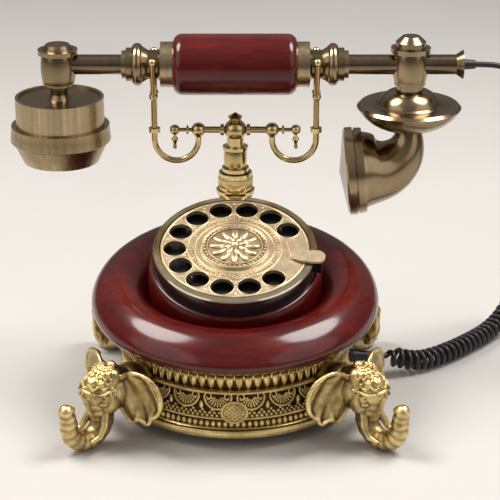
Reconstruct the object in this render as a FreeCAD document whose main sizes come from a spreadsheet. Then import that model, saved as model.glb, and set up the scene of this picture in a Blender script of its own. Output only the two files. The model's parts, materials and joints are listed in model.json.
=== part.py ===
"""Antique-style desk telephone with a rotary dial.

Millimetres, +Z up, +X to the right and +Y to the back, with the origin on the floor under the
middle of the base. Every size comes from the sheet, and pieces that fit share its values.
"""
import FreeCAD, Part
import math
import os

import Sketcher

SIZES = {
    # Fits
    "seat_gap": 0.05, "running_gap": 0.06, "clear_gap": 0.4,
    # Cast base, from the bottom up
    "base_bottom": 6.6, "rim_radius": 70.0, "rim_height": 6.0, "rim_round": 2.0,
    "bead_radius": 67.4, "bead_height": 4.4, "band_low_radius": 66.0, "band_high_radius": 62.6,
    "band_height": 14.4, "line_radius": 64.6, "line_height": 1.6, "leaf_low_radius": 62.6,
    "leaf_high_radius": 64.0, "leaf_height": 10.0, "lip_height": 1.5, "lip_step": 1.2,
    "base_wall": 4.0, "web_thickness": 3.0, "web_hole_radius": 30.0,
    "plate_radius": 61.0, "plate_thickness": 2.0, "post_radius": 4.0, "post_circle": 49.0,
    "screw_radius": 1.5, "screw_head_radius": 3.4, "screw_head_height": 1.8, "screw_reach": 14.0,
    # Elephant feet
    "elephant_angle": 40.0, "shoulder_reach": 76.0, "withers_radius": 14.5, "shoulder_level": 29.0,
    "head_reach": 90.0, "head_radius": 14.5, "head_level": 32.0, "ear_reach": 81.0, "ear_spread": 19.5,
    "ear_thick": 5.0, "ear_radius": 13.5, "ear_level": 31.5,
    "trunk_reach": 94.5, "trunk_curl": 11.5, "rear_trunk_curl": 7.2, "trunk_radius": 6.0,
    "trunk_root_radius": 8.5, "trunk_tip_radius": 4.2, "trunk_tip_rise": 9.0, "foot_flat": 0.5,
    # Turned wooden body
    "wood_foot_radius": 64.0, "bowl_radius": 82.0, "bowl_height": 18.5, "ring_tilt": 8.0,
    "ring_level": 64.0, "ring_mean_radius": 65.0, "ring_half_width": 19.5, "ring_half_height": 14.0,
    "collar_radius": 49.2, "collar_depth": 24.0, "cavity_radius": 41.5, "cavity_height": 13.0,
    # Dial, measured along its own axis from the top of the finger wheel
    "dial_y": -12.0, "dial_z": 97.0, "dial_tilt": 19.0, "wheel_radius": 41.75,
    "wheel_thickness": 2.2, "hole_circle": 33.6, "hole_radius": 6.4, "hole_pitch": 360.0 / 14,
    "first_hole": 27.0, "finger_depth": 3.4, "dial_plate_thickness": 1.2,
    "housing_radius": 46.0, "housing_wall": 1.8, "housing_floor": 2.0, "housing_depth": 14.0,
    "housing_show": 10.4, "bezel_inner_radius": 42.3, "bezel_height": 1.2, "bezel_rise": 0.2,
    "medallion_radius": 19.3, "medallion_rise": 1.4, "medallion_rim": 2.2,
    "stop_angle": -12.0, "stop_root": 47.0, "stop_round": 5.0, "stop_reach": 19.5,
    "stop_swing": 9.5, "stop_thickness": 1.4, "stop_lift": 0.8, "lug_width": 9.0, "lug_depth": 5.0,
    "spindle_radius": 3.0, "flange_radius": 6.0, "flange_thickness": 2.0,
    "mechanism_radius": 37.0, "mechanism_depth": 40.0, "gear_drop": 11.0, "gear_thickness": 2.0,
    "gear_centres": 24.0, "tooth_rise": 0.5, "tooth_fall": 0.9, "governor_angle": 30.0,
    "governor_shaft_radius": 1.2, "drum_radius": 8.0, "drum_drop": 17.0, "drum_height": 5.0,
    "frame_drop": 24.0, "frame_thickness": 2.0, "frame_radius": 31.0, "pillar_circle": 27.0,
    "pillar_radius": 2.5, "spring_radius": 9.0, "spring_height": 7.0,
    "contacts_reach": 26.0, "contacts_width": 6.0, "contacts_length": 10.0, "contacts_height": 9.5,
    # Neck and switch hook
    "neck_y": 45.0, "neck_seat": 80.0, "neck_foot_radius": 13.0, "neck_foot_height": 3.0,
    "neck_waist_radius": 8.0, "neck_waist_top": 104.0, "neck_top": 112.0, "neck_top_radius": 11.2,
    "cup_radius": 9.7, "cup_height": 10.5, "cup_floor": 2.0, "cup_bore": 8.2,
    "rod_radius": 3.0, "rod_flange_radius": 5.5, "rod_flange_thickness": 2.0,
    "rod_bottom": 28.0, "spring_outer": 5.0, "spring_inner": 3.6,
    "switch_height": 5.4, "switch_width": 16.0, "switch_length": 12.0,
    "plunger_gap": 1.5, "plunger_radius": 7.0, "stop_ring_gap": 0.7, "stop_ring_height": 2.2,
    "stop_ring_radius": 7.9, "barrel_radius": 6.2, "barrel_bulge": 26.0, "barrel_height": 11.0,
    "top_ring_radius": 7.4, "top_ring_height": 1.8, "throat_radius": 4.9,
    "bar_level": 148.0, "boss_radius": 6.5, "boss_flat": 6.1, "finial_radius": 4.2,
    "finial_height": 4.6,
    # Cradle bar and hooks
    "bar_radius": 1.9, "bar_collar_radius": 3.4, "bar_collar_width": 2.0, "bar_ball_radius": 4.2,
    "bar_ball_x": 21.3, "bar_disc_radius": 2.5, "bar_disc_x": 27.6, "bar_disc_width": 1.2,
    "tail_radius": 1.1, "tail_ball_radius": 3.0, "tail_ball_x": 35.0,
    "pendant_length": 9.0, "pendant_radius": 2.1, "pendant_stem": 0.9,
    "hook_x": 46.7, "hook_radius": 1.75, "hook_collar_radius": 3.4, "hook_collar_height": 2.4,
    "fork_level": 169.0, "fork_angle": 20.7, "fork_nub_radius": 2.6,
    "prong_radius": 1.6, "prong_length": 24.0, "prong_ball_radius": 2.3, "cradle_gap": 0.3,
    # Handset, measured from its own long axis
    "handset_z": 187.0, "tube_radius": 5.7, "tube_wall": 1.5, "grip_half": 35.5,
    "grip_radius": 17.5, "grip_round": 5.5, "ferrule_radius": 13.0, "ferrule_length": 7.0,
    "waist_radius": 8.3, "waist_length": 10.4, "waist_flat": 3.0, "shoulder_radius": 10.4,
    "ring_length": 5.8, "ring_bulge": 3.2, "step_radius": 9.6,
    "step_length": 3.4, "tail_step_radius": 8.0, "tail_step_length": 2.5,
    "ear_x": 101.0, "socket_radius": 9.2, "socket_bulge": 42.0, "socket_inset": 4.0,
    "ear_socket_top": 6.4, "ear_socket_bottom": -10.5, "ear_stem_radius": 5.0,
    "ear_ring_radius": 7.6, "ear_ring_height": 1.8, "ear_foot_radius": 6.6, "drum_top": -19.0,
    "cap_flange_radius": 11.4, "cap_flange_height": 2.6, "cap_dome_radius": 8.6,
    "ear_cap_dome": 3.8, "ear_drum_radius": 25.5, "ear_drum_wall": 2.0, "ear_recess": 1.2,
    "ear_rim": 1.8, "ear_drum_height": 19.0, "ear_lap": 2.5, "ear_flare_radius": 29.0,
    "ear_flare_height": 9.0, "ear_base_radius": 22.0, "ear_base_level": -57.0, "ear_skin": 3.0,
    "receiver_radius": 18.0, "receiver_height": 8.0,
    "mouth_x": 100.0, "mouth_socket_top": 7.5, "mouth_socket_bottom": -9.5,
    "mouth_ring_radius": 9.0, "mouth_ring_height": 2.0, "mouth_stem_radius": 7.5,
    "mouth_stem_height": 3.0, "mouth_cap_dome": 6.6, "dome_radius": 18.0, "dome_height": 8.0,
    "dome_bulge": 14.0, "saucer_radius": 30.0, "saucer_level": -25.0, "saucer_dip": 1.0,
    "saucer_lip": 1.6, "saucer_bottom": -38.0, "horn_neck_radius": 7.4, "horn_drop": 5.0,
    "horn_bend": 20.0, "horn_turn": 85.0, "horn_mouth_radius": 22.5, "horn_straight": 7.0,
    "mouth_rim_radius": 25.6, "mouth_rim_width": 4.4, "mouth_groove": 0.9, "mouth_front": 4.6,
    "mouth_skin": 2.5, "capsule_radius": 19.5, "capsule_height": 8.0,
    "end_x": 130.0, "end_flare_radius": 8.4, "end_flare_length": 4.0, "end_bore": 3.0,
    # Ringer, board and line jack inside the base
    "ringer_half_width": 40.0, "ringer_front": -40.0, "ringer_back": 10.0, "ringer_plate": 1.6,
    "gong_x": 20.0, "gong_y": -22.0, "gong_radius": 14.5, "gong_height": 9.0, "gong_wall": 1.5,
    "gong_level": 18.0, "gong_post_radius": 2.0, "striker_pivot_y": -6.0, "striker_hub_radius": 3.5,
    "striker_hub_height": 6.0, "striker_level": 20.0, "striker_arm": 1.0, "striker_ball": 3.0,
    "pivot_radius": 1.5, "coil_radius": 5.0, "coil_length": 26.0, "coil_y": 4.5,
    "board_x": 50.0, "board_y": 22.0, "board_front": 13.0, "board_thickness": 1.6,
    "standoff_height": 3.0, "standoff_radius": 2.0, "standoff_inset": 4.0,
    "jack_x": -25.0, "jack_width": 14.0, "jack_height": 12.0, "jack_front": 50.0,
    "jack_back": 68.0, "jack_slot_width": 9.6, "jack_slot_height": 6.6, "jack_slot_depth": 12.0,
    # Curly cord and its two strain reliefs
    "gland_y": 26.0, "gland_z": 13.2, "gland_radius": 4.0, "gland_inner_x": 50.0,
    "gland_shoulder_x": 70.0, "gland_tip_x": 80.0, "gland_tip_radius": 2.5,
    "handset_gland_length": 7.0, "wire_radius": 1.65, "curl_radius": 4.6, "curl_pitch": 4.7,
    "base_lead": 8.0, "handset_lead": 48.0,
}
FINGER_HOLES = 12
RAMP_TURNS = 1.5
ROUNDED_SHARE = 0.45
NEAREST_LOOK = 2.5
WIDEST_LOOK = 30
GEAR_TEETH = 48
PINION_TEETH = 12
POSTS = 4

DOC = FreeCAD.newDocument("telephone")
SHEET = DOC.addObject("Spreadsheet::Sheet", "Sizes")
NODES = []


class Size:
    """A number together with the sheet expression that it comes from."""

    def __init__(self, value, text):
        self.value = float(value)
        self.text = text

    def __add__(self, other):
        return Size(self.value + number(other), f"({self.text} + {text(other)})")

    def __radd__(self, other):
        return Size(number(other) + self.value, f"({text(other)} + {self.text})")

    def __sub__(self, other):
        return Size(self.value - number(other), f"({self.text} - {text(other)})")

    def __rsub__(self, other):
        return Size(number(other) - self.value, f"({text(other)} - {self.text})")

    def __mul__(self, other):
        return Size(self.value * number(other), f"({self.text} * {text(other)})")

    def __rmul__(self, other):
        return Size(number(other) * self.value, f"({text(other)} * {self.text})")

    def __truediv__(self, other):
        return Size(self.value / number(other), f"({self.text} / {text(other)})")

    def __neg__(self):
        return Size(-self.value, f"(0 - {self.text})")

# Shares of a turned piece's own radius, length or height at the points of its profile.
FINIAL_FOOT = 0.8
FINIAL_BELLY = 0.4
FINIAL_NECK = 0.7
BALL_SEAT = 0.9
PENDANT_FOOT = 0.6
PENDANT_WAIST = 0.6
PENDANT_BELLY = 0.3
EAR_DOME_WIDTH = 0.8
EAR_DOME_RISE = 0.75
MOUTH_DOME_WIDTH = 0.6
GONG_CROWN = 0.7
HORN_START = 0.08
HORN_GROWTH = 0.76


def number(size):
    """The plain number of a size."""
    return size.value if isinstance(size, Size) else float(size)


def text(size):
    """The sheet expression of a size."""
    return size.text if isinstance(size, Size) else f"({float(size):.9g})"


def sine(angle):
    """Sine of an angle in degrees."""
    return Size(math.sin(math.radians(number(angle))), f"sin({text(angle)})")


def cosine(angle):
    """Cosine of an angle in degrees."""
    return Size(math.cos(math.radians(number(angle))), f"cos({text(angle)})")


class Dimensions:
    """The driving sizes, each one bound to its own cell of the sheet."""

    def __init__(self, sizes):
        for row, (name, value) in enumerate(sizes.items(), start=1):
            SHEET.set(f"A{row}", name)
            SHEET.set(f"B{row}", f"{value:.9g}")
            SHEET.setAlias(f"B{row}", name)
            setattr(self, name, Size(value, f"Sizes.{name}"))


dim = Dimensions(SIZES)
DOC.recompute()


class Frame:
    """A place with its own axes: turned by an angle about X or about Z."""

    def __init__(self, origin, axis="Z", angle=0.0):
        self.origin = origin
        across = cosine(angle)
        along = sine(angle)
        if axis == "X":
            self.rows = ((1, 0, 0), (0, across, -along), (0, along, across))
            vector = FreeCAD.Vector(1, 0, 0)
        else:
            self.rows = ((across, -along, 0), (along, across, 0), (0, 0, 1))
            vector = FreeCAD.Vector(0, 0, 1)
        self.rotation = FreeCAD.Rotation(vector, number(angle))

    def point(self, at):
        """A point of this frame, in the part's own axes."""
        return [start + sum_of(row, at) for start, row in zip(self.origin, self.rows)]


def sum_of(row, at):
    """The sum of three products, without the ones that are nothing."""
    total = 0
    for factor, size in zip(row, at):
        if not isinstance(factor, Size) and factor == 0:
            continue
        if not isinstance(size, Size) and size == 0:
            continue
        product = size if not isinstance(factor, Size) and factor == 1 else factor * size
        total = product if not isinstance(total, Size) and total == 0 else total + product
    return total


WORLD = Frame((0, 0, 0))
TO_X = FreeCAD.Rotation(FreeCAD.Vector(0, 1, 0), 90)
TO_BACK = FreeCAD.Rotation(FreeCAD.Vector(1, 0, 0), -90)
HALF_TURN = FreeCAD.Rotation(FreeCAD.Vector(0, 0, 1), 180)
UPRIGHT = FreeCAD.Rotation()


def place(thing, frame, at, turn=UPRIGHT):
    """Put an object at a point of a frame, tied to the sheet."""
    where = frame.point(at)
    base = FreeCAD.Vector(*[number(size) for size in where])
    thing.Placement = FreeCAD.Placement(base, frame.rotation.multiply(turn))
    for letter, size in zip("xyz", where):
        if isinstance(size, Size):
            thing.setExpression(f"Placement.Base.{letter}", size.text)
    return thing


def solid(kind, name, frame=WORLD, at=(0, 0, 0), turn=UPRIGHT, **sizes):
    """A primitive whose sizes are tied to the sheet."""
    thing = DOC.addObject(kind, name)
    for prop, size in sizes.items():
        setattr(thing, prop, number(size))
        if isinstance(size, Size):
            thing.setExpression(prop, size.text)
    return place(thing, frame, at, turn)


def cylinder(name, radius, height, **where):
    """A cylinder that stands on its placement."""
    return solid("Part::Cylinder", name, Radius=radius, Height=height, **where)


def ball(name, radius, **where):
    """A ball round its placement."""
    return solid("Part::Sphere", name, Radius=radius, **where)


def block(name, length, width, height, **where):
    """A block whose lowest corner is its placement."""
    return solid("Part::Box", name, Length=length, Width=width, Height=height, **where)


def fuse(name, *things):
    """Several touching objects as one solid."""
    whole = DOC.addObject("Part::MultiFuse", name)
    whole.Shapes = list(things)
    return whole


def cut(name, base, *tools):
    """An object with others taken out of it."""
    result = DOC.addObject("Part::Cut", name)
    result.Base = base
    result.Tool = tools[0] if len(tools) == 1 else fuse(f"{name}_tools", *tools)
    return result


def group(name, *things):
    """Several separate solids in one node."""
    whole = DOC.addObject("Part::Compound", name)
    whole.Links = list(things)
    return whole


def node(thing):
    """Mark an object as one piece of the telephone."""
    NODES.append(thing)
    return thing


def plane_of(body, role):
    """One of a body's own origin planes."""
    return [item for item in body.Origin.OriginFeatures if item.Role == role][0]


def arc_through(start, end, radius):
    """The short arc between two points; a negative radius turns clockwise."""
    chord = end - start
    middle = (start + end) * 0.5
    left = FreeCAD.Vector(-chord.y, chord.x, 0).normalize()
    rise = math.sqrt(max(radius * radius - chord.Length ** 2 / 4, 0.0))
    centre = middle + left * (rise if radius > 0 else -rise)
    first, last = (start, end) if radius > 0 else (end, start)
    angles = [math.atan2(point.y - centre.y, point.x - centre.x) for point in (first, last)]
    circle = Part.Circle(centre, FreeCAD.Vector(0, 0, 1), abs(radius))
    return Part.ArcOfCircle(circle, *angles)


def fix_point(sketch, index, spot, point):
    """Tie one corner of a sketch to the sheet."""
    for kind, axis, size in (("DistanceX", -2, point[0]), ("DistanceY", -1, point[1])):
        if not isinstance(size, Size) and size == 0:
            sketch.addConstraint(Sketcher.Constraint("PointOnObject", index, spot, axis))
            continue
        rule = sketch.addConstraint(Sketcher.Constraint(kind, -1, 1, index, spot, number(size)))
        if isinstance(size, Size):
            sketch.setExpression(f"Constraints[{rule}]", size.text)


def draw(body, role, outline):
    """A closed sketch through corners (x, y) or (x, y, radius of the arc to the next corner)."""
    sketch = body.newObject("Sketcher::SketchObject", f"{body.Name}_sketch")
    sketch.AttachmentSupport = [(plane_of(body, role), "")]
    sketch.MapMode = "FlatFace"
    corners = [FreeCAD.Vector(number(item[0]), number(item[1]), 0) for item in outline]
    ends = []
    for index, item in enumerate(outline):
        start = corners[index]
        end = corners[(index + 1) % len(corners)]
        if len(item) == 3:
            sketch.addGeometry(arc_through(start, end, number(item[2])))
            ends.append((1, 2) if number(item[2]) > 0 else (2, 1))
        else:
            sketch.addGeometry(Part.LineSegment(start, end))
            ends.append((1, 2))
    for index, item in enumerate(outline):
        following = (index + 1) % len(outline)
        join = Sketcher.Constraint("Coincident", index, ends[index][1], following, ends[following][0])
        sketch.addConstraint(join)
        fix_point(sketch, index, ends[index][0], item)
        if len(item) == 3:
            rule = sketch.addConstraint(Sketcher.Constraint("Radius", index, abs(number(item[2]))))
            size = item[2] if number(item[2]) > 0 else -item[2]
            if isinstance(size, Size):
                sketch.setExpression(f"Constraints[{rule}]", size.text)
    return sketch


def turned(name, outline, axis="V_Axis", **where):
    """A lathe piece: corners are (radius, height), or (place along X, radius) about H_Axis."""
    body = DOC.addObject("PartDesign::Body", name)
    sketch = draw(body, "XZ_Plane", outline)
    revolution = body.newObject("PartDesign::Revolution", f"{name}_turning")
    revolution.Profile = sketch
    revolution.ReferenceAxis = (sketch, [axis])
    revolution.Angle = 360
    return place(body, where.get("frame", WORLD), where.get("at", (0, 0, 0)), where.get("turn", UPRIGHT))


def add_circle(sketch, centre, radius):
    """A circle in a sketch, tied to the sheet."""
    middle = FreeCAD.Vector(number(centre[0]), number(centre[1]), 0)
    index = sketch.addGeometry(Part.Circle(middle, FreeCAD.Vector(0, 0, 1), number(radius)))
    fix_point(sketch, index, 3, centre)
    rule = sketch.addConstraint(Sketcher.Constraint("Radius", index, number(radius)))
    sketch.setExpression(f"Constraints[{rule}]", radius.text)


def padded(name, sketch_maker, height, **where):
    """A flat piece: a sketch on the XY plane, raised by a height."""
    body = DOC.addObject("PartDesign::Body", name)
    sketch = sketch_maker(body)
    pad = body.newObject("PartDesign::Pad", f"{name}_pad")
    pad.Profile = sketch
    pad.setExpression("Length", height.text)
    return place(body, where.get("frame", WORLD), where.get("at", (0, 0, 0)), where.get("turn", UPRIGHT))


def round_plate(circles):
    """A sketch maker for a plate bounded and pierced by circles (centre, radius)."""
    def make(body):
        sketch = body.newObject("Sketcher::SketchObject", f"{body.Name}_sketch")
        sketch.AttachmentSupport = [(plane_of(body, "XY_Plane"), "")]
        sketch.MapMode = "FlatFace"
        for centre, radius in circles:
            add_circle(sketch, centre, radius)
        return sketch
    return make


def polar(radius, angle):
    """A point on a circle in the XY plane, the angle in degrees."""
    return radius * cosine(angle), radius * sine(angle)


# Levels of the base, from the bottom up
RIM_TOP = dim.base_bottom + dim.rim_height
BEAD_TOP = RIM_TOP + dim.bead_height
BAND_TOP = BEAD_TOP + dim.band_height
LINE_TOP = BAND_TOP + dim.line_height
LEAF_TOP = LINE_TOP + dim.leaf_height
BASE_TOP = LEAF_TOP + dim.lip_height
PLATE_TOP = dim.base_bottom + dim.plate_thickness
BASE_BORE = dim.band_high_radius - dim.base_wall
POST_ANGLES = [45 + 360 / POSTS * index for index in range(POSTS)]
NECK = Frame((0, dim.neck_y, 0))


def base_outline():
    """The outside of the base casting, from its foot to its top lip."""
    return [
        (dim.rim_radius - dim.rim_round, dim.base_bottom, dim.rim_round),
        (dim.rim_radius, dim.base_bottom + dim.rim_round),
        (dim.rim_radius, RIM_TOP - dim.rim_round, dim.rim_round),
        (dim.rim_radius - dim.rim_round, RIM_TOP),
        (dim.bead_radius, RIM_TOP),
        (dim.bead_radius, BEAD_TOP),
        (dim.band_low_radius, BEAD_TOP),
        (dim.band_high_radius, BAND_TOP),
        (dim.line_radius, BAND_TOP),
        (dim.line_radius, LINE_TOP),
        (dim.leaf_low_radius, LINE_TOP),
        (dim.leaf_high_radius, LEAF_TOP),
        (dim.leaf_high_radius - dim.lip_step, BASE_TOP),
    ]


def base():
    """Cast base shell with posts, its bottom plate and the plate's screws."""
    recess = dim.plate_radius + dim.seat_gap
    shell = turned("base_shell", base_outline() + [
        (dim.web_hole_radius, BASE_TOP),
        (dim.web_hole_radius, BASE_TOP - dim.web_thickness),
        (BASE_BORE, BASE_TOP - dim.web_thickness),
        (BASE_BORE, PLATE_TOP),
        (recess, PLATE_TOP),
        (recess, dim.base_bottom),
    ])
    posts = []
    bores = []
    screws = []
    plate_holes = []
    for index, angle in enumerate(POST_ANGLES):
        x, y = polar(dim.post_circle, angle)
        post_height = BASE_TOP - dim.web_thickness - PLATE_TOP
        posts.append(cylinder(f"post_{index}", dim.post_radius, post_height, at=(x, y, PLATE_TOP)))
        bore = dim.screw_radius + dim.seat_gap
        bores.append(cylinder(f"post_bore_{index}", bore, dim.screw_reach + dim.clear_gap,
                              at=(x, y, PLATE_TOP)))
        plate_holes.append(cylinder(f"plate_hole_{index}", bore, dim.plate_thickness,
                                    at=(x, y, dim.base_bottom)))
        shank = cylinder(f"shank_{index}", dim.screw_radius, dim.plate_thickness + dim.screw_reach,
                         at=(x, y, dim.base_bottom))
        head = cylinder(f"screw_head_{index}", dim.screw_head_radius, dim.screw_head_height,
                        at=(x, y, dim.base_bottom - dim.screw_head_height))
        screws.append(fuse(f"screw_{index}", shank, head))
    rod_hole = cylinder("web_rod_hole", dim.rod_radius + dim.clear_gap, dim.web_thickness, frame=NECK,
                        at=(0, 0, BASE_TOP - dim.web_thickness))
    gland_hole = cylinder("gland_hole", dim.gland_radius + dim.seat_gap, dim.rim_radius - dim.gland_inner_x,
                          at=(dim.gland_inner_x, dim.gland_y, dim.gland_z), turn=TO_X)
    jack_window = block("jack_window", dim.jack_width + 2 * dim.seat_gap, dim.jack_back - dim.jack_front,
                        dim.jack_height + dim.seat_gap,
                        at=(dim.jack_x - dim.jack_width / 2 - dim.seat_gap, dim.jack_front, PLATE_TOP))
    whole = fuse("base_with_posts", shell, *posts)
    node(cut("base_casting", whole, rod_hole, gland_hole, jack_window, *bores))
    disc = cylinder("plate_disc", dim.plate_radius, dim.plate_thickness, at=(0, 0, dim.base_bottom))
    standoffs = []
    for side_x in (-1, 1):
        for side_y in (-1, 1):
            x = side_x * (dim.board_x / 2 - dim.standoff_inset)
            y = dim.board_front + dim.board_y / 2 + side_y * (dim.board_y / 2 - dim.standoff_inset)
            standoffs.append(cylinder(f"standoff_{side_x + 1}{side_y + 1}", dim.standoff_radius,
                                      dim.standoff_height, at=(x, y, PLATE_TOP)))
    node(cut("bottom_plate", fuse("plate_with_standoffs", disc, *standoffs), *plate_holes))
    node(group("bottom_screws", *screws))


def elephant(name, angle, curl, envelope):
    """One elephant-head foot, facing outward: shoulders, head, two ears and the curled trunk."""
    frame = Frame((0, 0, 0), "Z", angle)
    curl_level = curl + dim.trunk_radius - dim.foot_flat
    tip_reach = dim.trunk_reach + 2 * curl
    downward = FreeCAD.Rotation(FreeCAD.Vector(1, 0, 0), -90)
    pieces = [
        ball(f"{name}_shoulders", dim.withers_radius, frame=frame, turn=TO_X,
             at=(dim.shoulder_reach, 0, dim.shoulder_level)),
        ball(f"{name}_head", dim.head_radius, frame=frame, turn=TO_X, at=(dim.head_reach, 0, dim.head_level)),
        solid("Part::Cone", f"{name}_trunk", Radius1=dim.trunk_radius, Radius2=dim.trunk_root_radius,
              Height=dim.head_level - curl_level, frame=frame, at=(dim.trunk_reach, 0, curl_level)),
        solid("Part::Torus", f"{name}_curl", Radius1=curl, Radius2=dim.trunk_radius, Angle3=180,
              frame=frame, at=(dim.trunk_reach + curl, 0, curl_level), turn=downward),
        solid("Part::Cone", f"{name}_tip", Radius1=dim.trunk_radius, Radius2=dim.trunk_tip_radius,
              Height=dim.trunk_tip_rise, frame=frame, at=(tip_reach, 0, curl_level)),
        ball(f"{name}_tip_end", dim.trunk_tip_radius, frame=frame,
             at=(tip_reach, 0, curl_level + dim.trunk_tip_rise)),
    ]
    for side in (-1, 1):
        ear_place = (dim.ear_reach, side * dim.ear_spread, dim.ear_level)
        pieces.append(cylinder(f"{name}_ear_{side + 1}", dim.ear_radius, dim.ear_thick, frame=frame,
                               turn=TO_X, at=ear_place))
    below = 2 * dim.trunk_radius
    floor = block(f"{name}_floor", 2 * dim.rim_radius, 2 * dim.rim_radius, below, frame=frame,
                  at=(0, -dim.rim_radius, -below))
    node(cut(name, fuse(f"{name}_whole", *pieces), floor, envelope))


def elephants():
    """The four elephant feet, cut to the outside of the base."""
    envelope = turned("base_envelope", base_outline() + [(0, BASE_TOP), (0, dim.base_bottom)])
    elephant("elephant_front_right", -dim.elephant_angle, dim.trunk_curl, envelope)
    elephant("elephant_front_left", 180 + dim.elephant_angle, dim.trunk_curl, envelope)
    elephant("elephant_rear_right", dim.elephant_angle, dim.rear_trunk_curl, envelope)
    elephant("elephant_rear_left", 180 - dim.elephant_angle, dim.rear_trunk_curl, envelope)


# Levels of the dial along its own axis
DIAL = Frame((0, dim.dial_y, dim.dial_z), "X", dim.dial_tilt)
PLATE_FACE = -(dim.wheel_thickness + dim.finger_depth)
FLOOR_TOP = PLATE_FACE - dim.dial_plate_thickness
FLOOR_UNDER = FLOOR_TOP - dim.housing_floor
HOUSING_TOP = dim.bezel_rise - dim.bezel_height
HOUSING_BORE = dim.housing_radius - dim.housing_wall


def wood():
    """Turned wooden body: a bowl on the base, a tilted ring on it and the dial's collar."""
    foot = BASE_TOP
    swell = dim.bowl_radius - dim.wood_foot_radius
    bowl_arc = (swell * swell + dim.bowl_height * dim.bowl_height) / (2 * swell)
    bowl_top = dim.ring_level + 2 * dim.ring_half_height
    bowl = turned("wood_bowl", [
        (0, foot),
        (dim.wood_foot_radius, foot, bowl_arc),
        (dim.bowl_radius, foot + dim.bowl_height),
        (dim.bowl_radius, bowl_top),
        (0, bowl_top),
    ])
    wide = dim.ring_half_width
    tall = dim.ring_half_height
    ring_arc = (wide * wide + tall * tall) / (2 * wide)
    ring_edge = dim.ring_mean_radius + wide
    tilted = Frame((0, 0, dim.ring_level), "X", dim.ring_tilt)
    ring = turned("wood_ring", [
        (0, -dim.ring_level),
        (ring_edge, -dim.ring_level),
        (ring_edge, 0, ring_arc),
        (dim.ring_mean_radius, tall, ring_arc),
        (dim.ring_mean_radius - wide, 0),
        (0, 0),
    ], frame=tilted)
    dished = DOC.addObject("Part::Common", "wood_dished")
    dished.Base = bowl
    dished.Tool = ring
    collar = cylinder("wood_collar", dim.collar_radius, dim.collar_depth, frame=DIAL,
                      at=(0, 0, -dim.housing_show - dim.collar_depth))
    cavity = cylinder("wood_cavity", dim.cavity_radius, dim.cavity_height, at=(0, 0, foot))
    bore = cylinder("wood_housing_bore", dim.housing_radius + dim.seat_gap, dim.housing_depth, frame=DIAL,
                    at=(0, 0, -dim.housing_depth))
    well = cylinder("wood_mechanism_well", dim.mechanism_radius, dim.mechanism_depth - dim.housing_depth,
                    frame=DIAL, at=(0, 0, -dim.mechanism_depth))
    seat = cylinder("wood_neck_seat", dim.neck_foot_radius + dim.seat_gap, dim.neck_top - dim.neck_seat,
                    frame=NECK, at=(0, 0, dim.neck_seat))
    rod_hole = cylinder("wood_rod_hole", dim.rod_radius + dim.clear_gap, dim.neck_seat - foot,
                        frame=NECK, at=(0, 0, foot))
    node(cut("wood_body", fuse("wood_whole", dished, collar), cavity, bore, well, seat, rod_hole))


def dial_case():
    """The fixed part of the dial: housing with the stop's lug, bezel, number plate and finger stop."""
    shell = turned("housing_shell", [
        (dim.spindle_radius + dim.running_gap, FLOOR_UNDER),
        (HOUSING_BORE, FLOOR_UNDER),
        (HOUSING_BORE, -dim.housing_depth),
        (dim.housing_radius, -dim.housing_depth),
        (dim.housing_radius, HOUSING_TOP),
        (HOUSING_BORE, HOUSING_TOP),
        (HOUSING_BORE, FLOOR_TOP),
        (dim.spindle_radius + dim.running_gap, FLOOR_TOP),
    ], frame=DIAL)
    stop_frame_x, stop_frame_y = polar(dim.stop_root, dim.stop_angle)
    lug_turn = FreeCAD.Rotation(FreeCAD.Vector(0, 0, 1), number(dim.stop_angle))
    lug_side = polar(dim.lug_width / 2, dim.stop_angle + 90)
    lug_start = polar(dim.housing_radius - dim.housing_wall / 2, dim.stop_angle)
    lug_low = HOUSING_TOP - dim.lug_depth
    lug = block("stop_lug", dim.lug_depth, dim.lug_width, dim.stop_lift - lug_low, frame=DIAL, turn=lug_turn,
                at=(lug_start[0] - lug_side[0], lug_start[1] - lug_side[1], lug_low))
    pivot = governor_place()
    pivot_hole = cylinder("governor_top_hole", dim.governor_shaft_radius + dim.running_gap, dim.housing_floor,
                          frame=DIAL, at=(*pivot, FLOOR_UNDER))
    bezel_clear = cylinder("lug_bezel_clearance", dim.housing_radius + dim.seat_gap, dim.bezel_height * 2,
                           frame=DIAL, at=(0, 0, HOUSING_TOP))
    node(cut("dial_housing", fuse("housing_with_lug", shell, lug), pivot_hole, bezel_clear))
    node(turned("bezel_ring", [
        (dim.bezel_inner_radius, HOUSING_TOP),
        (dim.housing_radius, HOUSING_TOP),
        (dim.housing_radius, dim.bezel_rise - dim.bezel_height / 2),
        (dim.housing_radius - dim.bezel_height / 2, dim.bezel_rise),
        (dim.bezel_inner_radius, dim.bezel_rise),
    ], frame=DIAL))
    node(padded("dial_plate", round_plate([
        ((0, 0), HOUSING_BORE - dim.seat_gap),
        ((0, 0), dim.spindle_radius + dim.clear_gap),
    ]), dim.dial_plate_thickness, frame=DIAL, at=(0, 0, FLOOR_TOP)))
    stop_turn = FreeCAD.Rotation(FreeCAD.Vector(0, 0, 1), number(dim.stop_angle))
    inner = dim.stop_reach - dim.stop_round

    def stop_sketch(body):
        return draw(body, "XY_Plane", [
            (-dim.stop_reach, dim.stop_swing),
            (-inner, -dim.stop_round / 2, dim.stop_reach),
            (0, -dim.stop_round, dim.stop_round + dim.seat_gap),
            (0, dim.stop_round),
            (-inner + dim.stop_round / 2, dim.stop_round / 2),
        ])
    node(padded("finger_stop", stop_sketch, dim.stop_thickness, frame=DIAL, turn=stop_turn,
                at=(stop_frame_x, stop_frame_y, dim.stop_lift)))


def governor_place():
    """Where the governor's shaft stands, in the dial's plane."""
    return polar(dim.gear_centres, dim.governor_angle)


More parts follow.
